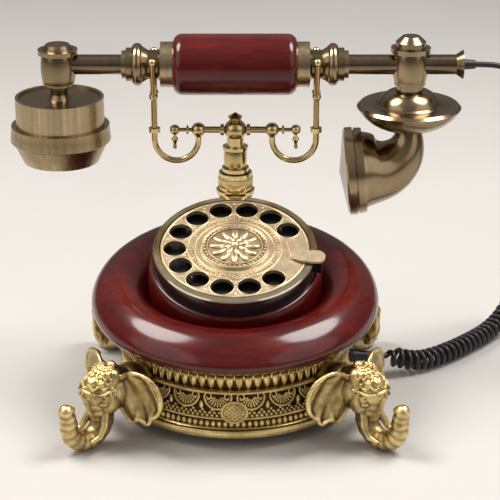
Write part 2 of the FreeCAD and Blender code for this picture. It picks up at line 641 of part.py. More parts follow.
def gear_shape(teeth, pitch_radius, bore, thickness, phase):
    """A toothed wheel with slender straight-sided teeth, by formula."""
    step = 2 * math.pi / teeth
    corners = []
    for index in range(teeth):
        middle = phase + index * step
        low = pitch_radius - dim.tooth_fall.value
        high = pitch_radius + dim.tooth_rise.value
        for radius, offset in ((low, -0.22), (high, -0.12), (high, 0.12), (low, 0.22)):
            angle = middle + offset * step
            corners.append(FreeCAD.Vector(radius * math.cos(angle), radius * math.sin(angle), 0))
    face = Part.Face(Part.makePolygon(corners + corners[:1]))
    blank = face.extrude(FreeCAD.Vector(0, 0, thickness))
    if bore:
        blank = blank.cut(Part.makeCylinder(bore, thickness))
    return blank


def dial_works():
    """The turning part of the dial, its governor and the frame below the housing."""
    holes = [((0, 0), dim.spindle_radius + dim.seat_gap)]
    for index in range(FINGER_HOLES):
        holes.append((polar(dim.hole_circle, dim.first_hole + index * dim.hole_pitch), dim.hole_radius))
    node(padded("finger_wheel", round_plate([((0, 0), dim.wheel_radius)] + holes), dim.wheel_thickness,
                frame=DIAL, at=(0, 0, -dim.wheel_thickness)))
    inner = dim.medallion_radius - dim.medallion_rim
    node(turned("dial_medallion", [
        (0, 0),
        (dim.medallion_radius, 0),
        (dim.medallion_radius, dim.medallion_rise / 2),
        (dim.medallion_radius - dim.medallion_rim / 2, dim.medallion_rise),
        (inner, dim.medallion_rise / 2),
        (0, dim.medallion_rise),
    ], frame=DIAL))
    frame_top = -dim.frame_drop
    frame_under = frame_top - dim.frame_thickness
    node(turned("dial_spindle", [
        (0, frame_under),
        (dim.spindle_radius, frame_under),
        (dim.spindle_radius, -dim.wheel_thickness - dim.flange_thickness),
        (dim.flange_radius, -dim.wheel_thickness - dim.flange_thickness),
        (dim.flange_radius, -dim.wheel_thickness),
        (dim.spindle_radius, -dim.wheel_thickness),
        (dim.spindle_radius, 0),
        (0, 0),
    ], frame=DIAL))
    pitch_radius = dim.gear_centres.value * GEAR_TEETH / (GEAR_TEETH + PINION_TEETH)
    gear = DOC.addObject("Part::Feature", "main_gear")
    gear.Shape = gear_shape(GEAR_TEETH, pitch_radius, dim.spindle_radius.value + dim.seat_gap.value,
                            dim.gear_thickness.value, math.radians(dim.governor_angle.value))
    node(place(gear, DIAL, (0, 0, -dim.gear_drop - dim.gear_thickness)))
    pinion_radius = dim.gear_centres.value - pitch_radius
    half_tooth = math.pi / PINION_TEETH
    pinion = DOC.addObject("Part::Feature", "governor_pinion")
    pinion.Shape = gear_shape(PINION_TEETH, pinion_radius, 0, dim.gear_thickness.value,
                              math.radians(dim.governor_angle.value) + math.pi + half_tooth)
    pivot = governor_place()
    place(pinion, DIAL, (*pivot, -dim.gear_drop - dim.gear_thickness))
    shaft = cylinder("governor_shaft", dim.governor_shaft_radius, FLOOR_TOP - dim.clear_gap - frame_under,
                     frame=DIAL, at=(*pivot, frame_under))
    drum = cylinder("governor_drum", dim.drum_radius, dim.drum_height, frame=DIAL,
                    at=(*pivot, -dim.drum_drop - dim.drum_height))
    node(fuse("governor", pinion, shaft, drum))
    plate = cylinder("frame_plate", dim.frame_radius, dim.frame_thickness, frame=DIAL, at=(0, 0, frame_under))
    pillars = []
    for index in range(3):
        pillars.append(cylinder(f"pillar_{index}", dim.pillar_radius, FLOOR_UNDER - frame_top, frame=DIAL,
                                at=(*polar(dim.pillar_circle, 90 + 120 * index), frame_top)))
    spindle_hole = cylinder("frame_spindle_hole", dim.spindle_radius + dim.running_gap, dim.frame_thickness,
                            frame=DIAL, at=(0, 0, frame_under))
    shaft_hole = cylinder("frame_governor_hole", dim.governor_shaft_radius + dim.running_gap,
                          dim.frame_thickness, frame=DIAL, at=(*pivot, frame_under))
    node(cut("dial_frame", fuse("frame_whole", plate, *pillars), spindle_hole, shaft_hole))
    node(block("pulse_contacts", dim.contacts_width, dim.contacts_length, dim.contacts_height, frame=DIAL,
               at=(-dim.contacts_reach, -dim.contacts_length / 2, frame_top)))
    node(turned("return_spring", [
        (dim.spindle_radius + dim.clear_gap, frame_top),
        (dim.spring_radius, frame_top),
        (dim.spring_radius, frame_top + dim.spring_height),
        (dim.spindle_radius + dim.clear_gap, frame_top + dim.spring_height),
    ], frame=DIAL))


def neck():
    """The fixed neck, and the switch and spring under it."""
    bore = dim.rod_radius + dim.running_gap
    node(turned("neck_base", [
        (bore, dim.neck_seat),
        (dim.neck_foot_radius, dim.neck_seat),
        (dim.neck_foot_radius, dim.neck_seat + dim.neck_foot_height),
        (dim.neck_waist_radius, dim.neck_waist_top - dim.neck_foot_radius),
        (dim.neck_waist_radius, dim.neck_waist_top),
        (dim.neck_top_radius, dim.neck_top - dim.cup_floor),
        (dim.neck_top_radius, dim.neck_top),
        (bore, dim.neck_top),
    ], frame=NECK))
    cup_top = dim.neck_top + dim.cup_height
    node(turned("knurled_collar", [
        (bore, dim.neck_top),
        (dim.cup_radius, dim.neck_top),
        (dim.cup_radius, cup_top),
        (dim.cup_bore, cup_top),
        (dim.cup_bore, dim.neck_top + dim.cup_floor),
        (bore, dim.neck_top + dim.cup_floor),
    ], frame=NECK))
    switch_top = PLATE_TOP + dim.switch_height
    node(block("hook_switch", dim.switch_width, dim.switch_length, dim.switch_height, frame=NECK,
               at=(-dim.switch_width / 2, -dim.switch_length / 2, PLATE_TOP)))
    node(turned("hook_spring", [
        (dim.spring_inner, switch_top),
        (dim.spring_outer, switch_top),
        (dim.spring_outer, dim.rod_bottom),
        (dim.spring_inner, dim.rod_bottom),
    ], frame=NECK))


def plunger():
    """The rod, barrel, boss and finial that rise with the cradle."""
    rod_top = dim.bar_level - dim.bar_radius - dim.clear_gap
    node(turned("hook_rod", [
        (0, dim.rod_bottom),
        (dim.rod_flange_radius, dim.rod_bottom),
        (dim.rod_flange_radius, dim.rod_bottom + dim.rod_flange_thickness),
        (dim.rod_radius, dim.rod_bottom + dim.rod_flange_thickness),
        (dim.rod_radius, rod_top),
        (0, rod_top),
    ], frame=NECK))
    sleeve = dim.rod_radius + dim.seat_gap
    bottom = dim.neck_top + dim.cup_floor + dim.plunger_gap
    ring_low = dim.neck_top + dim.cup_height + dim.stop_ring_gap
    ring_high = ring_low + dim.stop_ring_height
    barrel_top = ring_high + dim.barrel_height
    throat_low = barrel_top + dim.top_ring_height
    barrel = turned("barrel_turning", [
        (sleeve, bottom),
        (dim.plunger_radius, bottom),
        (dim.plunger_radius, ring_low),
        (dim.stop_ring_radius, ring_low),
        (dim.stop_ring_radius, ring_high),
        (dim.barrel_radius, ring_high, dim.barrel_bulge),
        (dim.barrel_radius, barrel_top),
        (dim.top_ring_radius, barrel_top),
        (dim.top_ring_radius, throat_low),
        (dim.throat_radius, throat_low),
        (dim.throat_radius, dim.bar_level - dim.bar_radius),
        (sleeve, dim.bar_level - dim.bar_radius),
    ], frame=NECK)
    seat = ball("barrel_boss_seat", dim.boss_radius, frame=NECK, at=(0, 0, dim.bar_level))
    node(cut("neck_barrel", barrel, seat))
    boss = ball("boss_ball", dim.boss_radius, frame=NECK, at=(0, 0, dim.bar_level))
    bar_bore = cylinder("boss_bar_bore", dim.bar_radius + dim.seat_gap, 2 * dim.boss_radius, frame=NECK,
                        at=(-dim.boss_radius, 0, dim.bar_level), turn=TO_X)
    rod_bore = cylinder("boss_rod_bore", sleeve, dim.boss_radius, frame=NECK,
                        at=(0, 0, dim.bar_level - dim.boss_radius))
    flat = cylinder("boss_flat", dim.boss_radius, dim.boss_radius, frame=NECK,
                    at=(0, 0, dim.bar_level + dim.boss_flat))
    node(cut("cross_boss", boss, bar_bore, rod_bore, flat))
    crown = dim.bar_level + dim.boss_flat
    node(turned("finial", [
        (0, crown),
        (dim.finial_radius * FINIAL_FOOT, crown),
        (dim.finial_radius, crown + dim.finial_height * FINIAL_BELLY),
        (dim.finial_radius / 2, crown + dim.finial_height * FINIAL_NECK),
        (0, crown + dim.finial_height),
    ], frame=NECK))


def bar_outline():
    """Half of the cradle bar's outline, from its middle to its end ball."""
    collar = dim.boss_radius + dim.seat_gap
    ball_half = dim.bar_ball_radius * BALL_SEAT
    ball_foot = dim.bar_ball_radius * math.sqrt(1 - BALL_SEAT ** 2)
    tail_half = dim.tail_ball_radius * BALL_SEAT
    tail_foot = dim.tail_ball_radius * math.sqrt(1 - BALL_SEAT ** 2)
    disc = dim.bar_disc_width / 2
    return [
        (collar, dim.bar_radius),
        (collar, dim.bar_collar_radius),
        (collar + dim.bar_collar_width, dim.bar_collar_radius),
        (collar + dim.bar_collar_width, dim.bar_radius),
        (dim.bar_ball_x - ball_half, dim.bar_radius),
        (dim.bar_ball_x - ball_half, ball_foot, -dim.bar_ball_radius),
        (dim.bar_ball_x + ball_half, ball_foot),
        (dim.bar_ball_x + ball_half, dim.tail_radius),
        (dim.bar_disc_x - disc, dim.tail_radius),
        (dim.bar_disc_x - disc, dim.bar_disc_radius),
        (dim.bar_disc_x + disc, dim.bar_disc_radius),
        (dim.bar_disc_x + disc, dim.tail_radius),
        (dim.tail_ball_x - tail_half, dim.tail_radius),
        (dim.tail_ball_x - tail_half, tail_foot, -dim.tail_ball_radius),
        (dim.tail_ball_x + tail_half, tail_foot),
        (dim.tail_ball_x + tail_half, 0),
    ]


def mirrored(half):
    """A closed outline from half of one: the same corners to the left, arcs kept."""
    left = []
    for index in range(len(half) - 1, -1, -1):
        x, y = half[index][:2]
        arc = half[index - 1][2:] if index else ()
        left.append((-x, y, *arc))
    return left + list(half)


def hook(name, side):
    """A cradle hook: U from the bar's ball, upright with its collar, and a two-pronged fork."""
    reach = dim.hook_x - dim.bar_ball_x
    middle = side * (dim.bar_ball_x + reach / 2)
    curl_level = dim.bar_level - dim.bar_ball_radius - dim.hook_radius
    upright_x = side * dim.hook_x
    inner_x = side * dim.bar_ball_x
    downward = FreeCAD.Rotation(FreeCAD.Vector(1, 0, 0), -90)
    spacing = dim.waist_radius + dim.cradle_gap + dim.prong_radius
    lean = (spacing - (dim.handset_z - dim.fork_level) * sine(dim.fork_angle)) / cosine(dim.fork_angle)
    pieces = [
        solid("Part::Torus", f"{name}_u", Radius1=reach / 2, Radius2=dim.hook_radius, Angle3=180, frame=NECK,
              at=(middle, 0, curl_level), turn=downward),
        cylinder(f"{name}_inner", dim.hook_radius, dim.hook_radius, frame=NECK, at=(inner_x, 0, curl_level)),
        cylinder(f"{name}_upright", dim.hook_radius, dim.fork_level - curl_level, frame=NECK,
                 at=(upright_x, 0, curl_level)),
        cylinder(f"{name}_collar", dim.hook_collar_radius, dim.hook_collar_height, frame=NECK,
                 at=(upright_x, 0, dim.bar_level - dim.hook_collar_height / 2)),
        cylinder(f"{name}_yoke", dim.prong_radius + dim.cradle_gap, 2 * lean, frame=NECK, turn=TO_BACK,
                 at=(upright_x, -lean, dim.fork_level)),
    ]
    for end in (-1, 1):
        tilt = FreeCAD.Rotation(FreeCAD.Vector(1, 0, 0), -end * number(dim.fork_angle))
        tip_y = end * (lean + dim.prong_length * sine(dim.fork_angle))
        tip_z = dim.fork_level + dim.prong_length * cosine(dim.fork_angle)
        pieces.append(ball(f"{name}_nub_{end + 1}", dim.fork_nub_radius, frame=NECK,
                           at=(upright_x, end * lean, dim.fork_level)))
        pieces.append(cylinder(f"{name}_prong_{end + 1}", dim.prong_radius, dim.prong_length, frame=NECK,
                               at=(upright_x, end * lean, dim.fork_level), turn=tilt))
        pieces.append(ball(f"{name}_tip_{end + 1}", dim.prong_ball_radius, frame=NECK,
                           at=(upright_x, tip_y, tip_z)))
    node(fuse(name, *pieces))


def cradle():
    """The cradle bar with its pendants, and the two hooks that hold the handset."""
    node(turned("cradle_bar", mirrored(bar_outline()), axis="H_Axis", frame=NECK, at=(0, 0, dim.bar_level)))
    hook("cradle_hook_left", -1)
    hook("cradle_hook_right", 1)
    drops = []
    for side in (-1, 1):
        top = dim.bar_level - dim.tail_ball_radius
        drops.append(turned(f"pendant_{side + 1}", [
            (0, top - dim.pendant_length),
            (dim.pendant_radius * PENDANT_FOOT, top - dim.pendant_length + dim.pendant_stem),
            (dim.pendant_stem, top - dim.pendant_length * PENDANT_WAIST),
            (dim.pendant_radius, top - dim.pendant_length * PENDANT_BELLY),
            (dim.pendant_stem, top - dim.pendant_stem),
            (dim.pendant_stem, top),
            (0, top),
        ], frame=NECK, at=(side * dim.tail_ball_x, 0, 0)))
    node(group("pendants", *drops))


# The handset lies along X, with its ear end at the left
HANDSET = Frame((0, dim.neck_y, dim.handset_z))
TUBE_BORE = dim.tube_radius + dim.seat_gap
FERRULE_END = dim.grip_half + dim.ferrule_length
WAIST_END = FERRULE_END + dim.waist_length
RING_END = WAIST_END + dim.ring_length
STEP_END = RING_END + dim.step_length
TAIL_END = STEP_END + dim.tail_step_length


def handset_bar():
    """The tube through the handset, the wooden grip, and the turned brass on each side of it."""
    left_end = dim.socket_inset - dim.ear_x
    right_end = dim.mouth_x - dim.socket_inset
    node(turned("handset_tube", [
        (left_end, dim.tube_radius - dim.tube_wall),
        (right_end, dim.tube_radius - dim.tube_wall),
        (right_end, dim.tube_radius),
        (left_end, dim.tube_radius),
    ], axis="H_Axis", frame=HANDSET))
    round_start = dim.grip_radius - dim.grip_round
    node(turned("handset_grip", [
        (-dim.grip_half, TUBE_BORE),
        (dim.grip_half, TUBE_BORE),
        (dim.grip_half, round_start, dim.grip_round),
        (dim.grip_half - dim.grip_round, dim.grip_radius),
        (dim.grip_round - dim.grip_half, dim.grip_radius, dim.grip_round),
        (-dim.grip_half, round_start),
    ], axis="H_Axis", frame=HANDSET))
    for side, turn in (("right", UPRIGHT), ("left", HALF_TURN)):
        node(turned(f"ferrule_{side}", [
            (dim.grip_half, TUBE_BORE),
            (FERRULE_END, TUBE_BORE),
            (FERRULE_END, dim.ferrule_radius),
            (dim.grip_half, dim.ferrule_radius),
        ], axis="H_Axis", frame=HANDSET, turn=turn))
        node(turned(f"baluster_{side}", [
            (FERRULE_END, TUBE_BORE),
            (TAIL_END, TUBE_BORE),
            (TAIL_END, dim.tail_step_radius),
            (STEP_END, dim.tail_step_radius),
            (STEP_END, dim.step_radius),
            (RING_END, dim.step_radius),
            (RING_END, dim.shoulder_radius, dim.ring_bulge),
            (WAIST_END, dim.shoulder_radius),
            (dim.hook_x + dim.waist_flat, dim.waist_radius),
            (dim.hook_x - dim.waist_flat, dim.waist_radius),
            (FERRULE_END, dim.shoulder_radius),
        ], axis="H_Axis", frame=HANDSET, turn=turn))


def tube_socket(name, x, outline, bores):
    """An upright barrel on an arm, bored from the sides for the tubes that enter it."""
    barrel = turned(f"{name}_turning", outline, frame=HANDSET, at=(x, 0, 0))
    tools = []
    for index, (start, end) in enumerate(bores):
        tools.append(cylinder(f"{name}_bore_{index}", TUBE_BORE, end - start, frame=HANDSET,
                              at=(start, 0, 0), turn=TO_X))
    return node(cut(name, barrel, *tools))


def ear_piece():
    """The ear end: socket on the arm, its cap, and the drum with its ring and receiver."""
    top = dim.ear_socket_top
    bottom = dim.ear_socket_bottom
    ring_low = bottom - dim.ear_ring_height
    floor = dim.drum_top - dim.ear_recess
    tube_end = dim.socket_inset - dim.ear_x
    tube_socket("ear_socket", -dim.ear_x, [
        (0, floor),
        (dim.ear_foot_radius, floor),
        (dim.ear_stem_radius, dim.drum_top + dim.ear_ring_height),
        (dim.ear_stem_radius, ring_low),
        (dim.ear_ring_radius, ring_low),
        (dim.ear_ring_radius, bottom),
        (dim.socket_radius, bottom, dim.socket_bulge),
        (dim.socket_radius, top),
        (0, top),
    ], [(tube_end, tube_end + dim.socket_radius)])
    flange_top = top + dim.cap_flange_height
    node(turned("ear_cap", [
        (0, top),
        (dim.cap_flange_radius, top),
        (dim.cap_flange_radius, flange_top),
        (dim.cap_dome_radius, flange_top),
        (dim.cap_dome_radius * EAR_DOME_WIDTH, flange_top + dim.ear_cap_dome * EAR_DOME_RISE),
        (0, flange_top + dim.ear_cap_dome),
    ], frame=HANDSET, at=(-dim.ear_x, 0, 0)))
    inner = dim.ear_drum_radius - dim.ear_drum_wall
    drum_low = dim.drum_top - dim.ear_drum_height
    node(turned("ear_drum", [
        (0, floor - dim.ear_drum_wall),
        (inner, floor - dim.ear_drum_wall),
        (inner, drum_low),
        (dim.ear_drum_radius, drum_low),
        (dim.ear_drum_radius, dim.drum_top),
        (dim.ear_drum_radius - dim.ear_rim, dim.drum_top),
        (dim.ear_drum_radius - dim.ear_rim, floor),
        (0, floor),
    ], frame=HANDSET, at=(-dim.ear_x, 0, 0)))
    lap_top = drum_low + dim.ear_lap
    flare_low = lap_top - dim.ear_flare_height
    seat = dim.ear_drum_radius + dim.seat_gap
    base_in = dim.ear_base_level + dim.ear_skin
    node(turned("ear_ring", [
        (0, dim.ear_base_level),
        (dim.ear_base_radius, dim.ear_base_level),
        (seat + dim.ear_skin / 2, flare_low - dim.ear_lap / 2),
        (dim.ear_flare_radius, flare_low),
        (dim.ear_flare_radius - dim.ear_skin / 4, lap_top),
        (seat, lap_top),
        (seat, drum_low),
        (inner, drum_low),
        (inner, flare_low),
        (dim.ear_base_radius - dim.ear_skin, base_in),
        (0, base_in),
    ], frame=HANDSET, at=(-dim.ear_x, 0, 0)))
    node(cylinder("receiver_capsule", dim.receiver_radius, dim.receiver_height, frame=HANDSET,
                  at=(-dim.ear_x, 0, base_in)))


def horn_sections():
    """Circles along the horn: straight down, round the bend and out to its mouth."""
    bend_level = dim.saucer_bottom - dim.horn_drop
    grow = dim.horn_mouth_radius - dim.horn_neck_radius
    circles = [(dim.mouth_x, dim.saucer_bottom, 0, dim.horn_neck_radius)]
    for share in (0.0, 0.25, 0.5, 0.75, 1.0):
        angle = dim.horn_turn * share
        x = dim.mouth_x - dim.horn_bend * (1 - cosine(angle))
        z = bend_level - dim.horn_bend * sine(angle)
        circles.append((x, z, angle, dim.horn_neck_radius + grow * (HORN_START + HORN_GROWTH * share)))
    circles.append((*mouth_centre(), dim.horn_turn, dim.horn_mouth_radius))
    return circles


def mouth_centre():
    """The middle of the horn's open end."""
    bend_level = dim.saucer_bottom - dim.horn_drop
    x = dim.mouth_x - dim.horn_bend * (1 - cosine(dim.horn_turn)) - dim.horn_straight * sine(dim.horn_turn)
    z = bend_level - dim.horn_bend * sine(dim.horn_turn) - dim.horn_straight * cosine(dim.horn_turn)
    return x, z


def mouth_piece():
    """The mouth end: socket, top cap, dome on its saucer, and the horn with its cap and capsule."""
    top = dim.mouth_socket_top
    bottom = dim.mouth_socket_bottom
    ring_low = bottom - dim.mouth_ring_height
    stem_low = ring_low - dim.mouth_stem_height
    tube_end = dim.mouth_x - dim.socket_inset
    end_start = dim.mouth_x + dim.socket_inset
    tube_socket("mouth_socket", dim.mouth_x, [
        (0, stem_low),
        (dim.mouth_stem_radius, stem_low),
        (dim.mouth_stem_radius, ring_low),
        (dim.mouth_ring_radius, ring_low),
        (dim.mouth_ring_radius, bottom),
        (dim.socket_radius, bottom, dim.socket_bulge),
        (dim.socket_radius, top),
        (0, top),
    ], [(tube_end - dim.socket_radius, tube_end), (end_start, end_start + dim.socket_radius)])
    flange_top = top + dim.cap_flange_height
    node(turned("mouth_top_cap", [
        (0, top),
        (dim.cap_flange_radius, top),
        (dim.cap_flange_radius, flange_top),
        (dim.cap_dome_radius, flange_top),
        (dim.cap_dome_radius, flange_top + dim.mouth_cap_dome / 2),
        (dim.cap_dome_radius * MOUTH_DOME_WIDTH, flange_top + dim.mouth_cap_dome),
        (0, flange_top + dim.mouth_cap_dome),
    ], frame=HANDSET, at=(dim.mouth_x, 0, 0)))
    dome_low = stem_low - dim.dome_height
    under_arc = (dim.saucer_radius - dim.horn_neck_radius) * 1.1
    node(turned("mouth_disc", [
        (0, dim.saucer_bottom),
        (dim.horn_neck_radius, dim.saucer_bottom, under_arc),
        (dim.saucer_radius, dim.saucer_level),
        (dim.saucer_radius - dim.saucer_lip, dim.saucer_level + dim.saucer_lip),
        (dim.dome_radius + dim.saucer_lip, dome_low - dim.saucer_dip),
        (dim.dome_radius, dome_low, dim.dome_bulge),
        (dim.mouth_stem_radius, stem_low),
        (0, stem_low),
    ], frame=HANDSET, at=(dim.mouth_x, 0, 0)))
    rings = []
    for index, (x, z, angle, radius) in enumerate(horn_sections()):
        lean = FreeCAD.Rotation(FreeCAD.Vector(0, 1, 0), number(angle))
        rings.append(solid("Part::Circle", f"horn_ring_{index}", Radius=radius, frame=HANDSET, at=(x, 0, z),
                           turn=lean))
    horn = DOC.addObject("Part::Loft", "horn")
    horn.Sections = rings
    horn.Solid = True
    node(horn)
    x, z = mouth_centre()
    facing = FreeCAD.Rotation(FreeCAD.Vector(0, 1, 0), 90 + number(dim.horn_turn))
    rim = dim.mouth_rim_radius
    first = dim.mouth_rim_width
    second = first + dim.mouth_groove
    front = second + dim.mouth_rim_width
    bore = dim.capsule_radius + dim.clear_gap
    node(turned("mouth_cap", [
        (0, bore),
        (0, rim - dim.mouth_groove),
        (first, rim - dim.mouth_groove / 2),
        (first, rim - 2 * dim.mouth_groove),
        (second, rim - 2 * dim.mouth_groove),
        (second, rim),
        (front, rim),
        (front + dim.mouth_groove, rim - 2 * dim.mouth_groove),
        (front + dim.mouth_front, 0),
        (front + dim.mouth_front - dim.mouth_skin, 0),
        (front - dim.mouth_groove, bore),
    ], axis="H_Axis", frame=HANDSET, at=(x, 0, z), turn=facing))
    node(turned("microphone_capsule", [
        (0, 0),
        (0, dim.capsule_radius),
        (dim.capsule_height, dim.capsule_radius),
        (dim.capsule_height, 0),
    ], axis="H_Axis", frame=HANDSET, at=(x, 0, z), turn=facing))
    flare_start = dim.end_x - dim.end_flare_length
    node(turned("end_tube", [
        (end_start, dim.end_bore),
        (dim.end_x, dim.end_bore),
        (dim.end_x, dim.end_flare_radius),
        (flare_start, dim.tube_radius),
        (end_start, dim.tube_radius),
    ], axis="H_Axis", frame=HANDSET))


def ringer():
    """What the base holds: ringer plate with gongs and striker, board, coil and line jack."""
    plate_top = PLATE_TOP + dim.ringer_plate
    plate = block("ringer_plate", 2 * dim.ringer_half_width, dim.ringer_back - dim.ringer_front,
                  dim.ringer_plate, at=(-dim.ringer_half_width, dim.ringer_front, PLATE_TOP))
    corner_holes = []
    for index, angle in enumerate(POST_ANGLES[2:]):
        x, y = polar(dim.post_circle, angle)
        corner_holes.append(cylinder(f"ringer_notch_{index}", dim.post_radius + dim.clear_gap,
                                     dim.ringer_plate, at=(x, y, PLATE_TOP)))
    gong_top = dim.gong_level + dim.gong_height
    posts = []
    gongs = []
    for side in (-1, 1):
        spot = (side * dim.gong_x, dim.gong_y)
        posts.append(cylinder(f"gong_post_{side + 1}", dim.gong_post_radius, gong_top - PLATE_TOP,
                              at=(*spot, PLATE_TOP)))
        hole = dim.gong_post_radius + dim.seat_gap
        gongs.append(turned(f"gong_{side + 1}", [
            (hole, gong_top - dim.gong_wall),
            (dim.gong_radius * GONG_CROWN, gong_top - dim.gong_wall),
            (dim.gong_radius - dim.gong_wall, dim.gong_level),
            (dim.gong_radius, dim.gong_level),
            (dim.gong_radius * GONG_CROWN + dim.gong_wall, gong_top),
            (hole, gong_top),
        ], at=(*spot, 0)))
    striker_top = dim.striker_level + dim.striker_hub_height
    pivot = cylinder("striker_pivot", dim.pivot_radius, striker_top - PLATE_TOP,
                     at=(0, dim.striker_pivot_y, PLATE_TOP))
    shelf = cylinder("striker_shelf", dim.striker_hub_radius, dim.striker_level - dim.clear_gap - plate_top,
                     at=(0, dim.striker_pivot_y, plate_top))
    node(cut("ringer_frame", fuse("ringer_whole", plate, pivot, shelf, *posts), *corner_holes))
    node(group("gongs", *gongs))
    hub = cylinder("striker_hub", dim.striker_hub_radius, dim.striker_hub_height,
                   at=(0, dim.striker_pivot_y, dim.striker_level))
    arm_level = dim.striker_level + dim.striker_hub_height / 2
    arm = cylinder("striker_arm", dim.striker_arm, dim.striker_pivot_y - dim.gong_y,
                   at=(0, dim.gong_y, arm_level), turn=TO_BACK)
    head = ball("striker_head", dim.striker_ball, at=(0, dim.gong_y, arm_level))
    hub_bore = cylinder("striker_bore", dim.pivot_radius + dim.running_gap, dim.striker_hub_height,
                        at=(0, dim.striker_pivot_y, dim.striker_level))
    node(cut("striker", fuse("striker_whole", hub, arm, head), hub_bore))
    node(cylinder("ringer_coil", dim.coil_radius, dim.coil_length, turn=TO_X,
                  at=(-dim.coil_length / 2, dim.coil_y, plate_top + dim.coil_radius)))
    node(block("main_board", dim.board_x, dim.board_y, dim.board_thickness,
               at=(-dim.board_x / 2, dim.board_front, PLATE_TOP + dim.standoff_height)))
    shell = block("jack_shell", dim.jack_width, dim.jack_back - dim.jack_front, dim.jack_height,
                  at=(dim.jack_x - dim.jack_width / 2, dim.jack_front, PLATE_TOP))
    slot_low = PLATE_TOP + (dim.jack_height - dim.jack_slot_height) / 2
    slot = block("jack_slot", dim.jack_slot_width, dim.jack_slot_depth, dim.jack_slot_height,
                 at=(dim.jack_x - dim.jack_slot_width / 2, dim.jack_back - dim.jack_slot_depth, slot_low))
    node(cut("line_jack", shell, slot))


def glands():
    """The strain reliefs at the base and at the handset's end."""
    node(turned("base_gland", [
        (dim.gland_inner_x, 0),
        (dim.gland_tip_x, 0),
        (dim.gland_tip_x, dim.gland_tip_radius),
        (dim.gland_shoulder_x, dim.gland_radius),
        (dim.gland_inner_x, dim.gland_radius),
    ], axis="H_Axis", at=(0, dim.gland_y, dim.gland_z)))
    start = dim.end_x - 2 * dim.end_flare_length
    tip = dim.end_x + dim.handset_gland_length
    plug = dim.end_bore - dim.seat_gap
    node(turned("handset_gland", [
        (start, 0),
        (tip, 0),
        (tip, dim.gland_tip_radius),
        (dim.end_x + dim.seat_gap, dim.end_bore + dim.seat_gap),
        (dim.end_x + dim.seat_gap, plug),
        (start, plug),
    ], axis="H_Axis", frame=HANDSET))


# Where the cord lies and hangs between its two strain reliefs
CORD_BETWEEN = [
    (92.0, 26.0, 13.2), (108.0, 30.0, 7.2), (126.0, 43.0, 6.6), (143.0, 60.0, 6.5),
    (158.0, 78.0, 6.6), (169.0, 91.0, 13.0), (177.0, 99.0, 27.0), (180.0, 99.0, 47.0),
    (179.5, 90.0, 72.0), (175.0, 74.5, 98.0), (168.0, 59.0, 124.0), (163.0, 48.5, 148.0),
    (162.2, 45.0, 171.0), (155.3, 45.0, 184.5), (148.5, 45.0, 187.0),
]


def cord_route():
    """Points that the curly cord's middle line follows, from the base to the handset."""
    start = (dim.gland_tip_x.value, dim.gland_y.value, dim.gland_z.value)
    gland_tip = dim.end_x + dim.handset_gland_length + 2 * dim.seat_gap
    end = (gland_tip.value, dim.neck_y.value, dim.handset_z.value)
    return [FreeCAD.Vector(*point) for point in (start, *CORD_BETWEEN, end)]


class MiddleLine:
    """A route's smooth middle line: straight runs joined by tangent arcs, walked by length."""

    def __init__(self, points):
        self.pieces = []
        self.length = 0.0
        self.radii = []
        last = points[0]
        for index in range(1, len(points) - 1):
            before = points[index] - points[index - 1]
            after = points[index + 1] - points[index]
            setback = ROUNDED_SHARE * min(before.Length, after.Length)
            before.normalize()
            after.normalize()
            turn = before.getAngle(after)
            radius = setback / math.tan(turn / 2)
            self.radii.append(radius)
            start = points[index] - before * setback
            self.add((start - last).Length, last, before, None, 0)
            inward = (after - before * before.dot(after)).normalize()
            self.add(radius * turn, start, before, inward, radius)
            last = points[index] + after * setback
        self.add((points[-1] - last).Length, last, (points[-1] - last).normalize(), None, 0)

    def add(self, length, start, tangent, inward, radius):
        """Keep one run or arc."""
        self.pieces.append((self.length, length, start, FreeCAD.Vector(tangent), inward, radius))
        self.length += length

    def at(self, distance):
        """The point and direction at a distance along the line."""
        for begin, length, start, tangent, inward, radius in self.pieces:
            if distance <= begin + length or begin + length >= self.length:
                walk = distance - begin
                if not radius:
                    return start + tangent * walk, tangent
                angle = walk / radius
                ahead = tangent * (radius * math.sin(angle))
                aside = inward * (radius * (1 - math.cos(angle)))
                return start + ahead + aside, tangent * math.cos(angle) + inward * math.sin(angle)

    def edges_from(self, distance):
        """Lines and arcs of the middle line from a distance on to its end."""
        edges = []
        for begin, length, _, _, _, radius in self.pieces:
            first = max(begin, distance)
            last = begin + length
            if last - first < dim.seat_gap.value:
                continue
            ends = (self.at(first)[0], self.at(last)[0])
            if radius:
                edges.append(Part.Arc(ends[0], self.at((first + last) / 2)[0], ends[1]).toShape())
            else:
                edges.append(Part.LineSegment(*ends).toShape())
        return edges


def curl_point(line, turns, share):
    """A point of the curled wire: round the middle line, easing in and out of its curls at the ends."""
    run = line.length - dim.base_lead.value - dim.handset_lead.value
    pitch = run / (turns + 2 * RAMP_TURNS)
    ramp = 2 * pitch * RAMP_TURNS
    turned_by = turns * share
    left = turns - turned_by
    if turned_by < RAMP_TURNS:
        walk = 2 * pitch * math.sqrt(RAMP_TURNS * turned_by)
    elif left < RAMP_TURNS:
        walk = run - 2 * pitch * math.sqrt(RAMP_TURNS * left)
    else:
        walk = pitch * (turned_by + RAMP_TURNS)
    middle, tangent = line.at(dim.base_lead.value + walk)
    side = FreeCAD.Vector(0, 1, 0)
    across = (side - tangent * side.dot(tangent)).normalize()
    upward = tangent.cross(across)
    grown = min(walk, run - walk) / ramp
    swell = 1.0 if grown >= 1 else 0.5 - 0.5 * math.cos(math.pi * grown)
    angle = 2 * math.pi * turned_by
    out = across * math.cos(angle) + upward * math.sin(angle)
    return middle + out * (dim.curl_radius.value * swell)


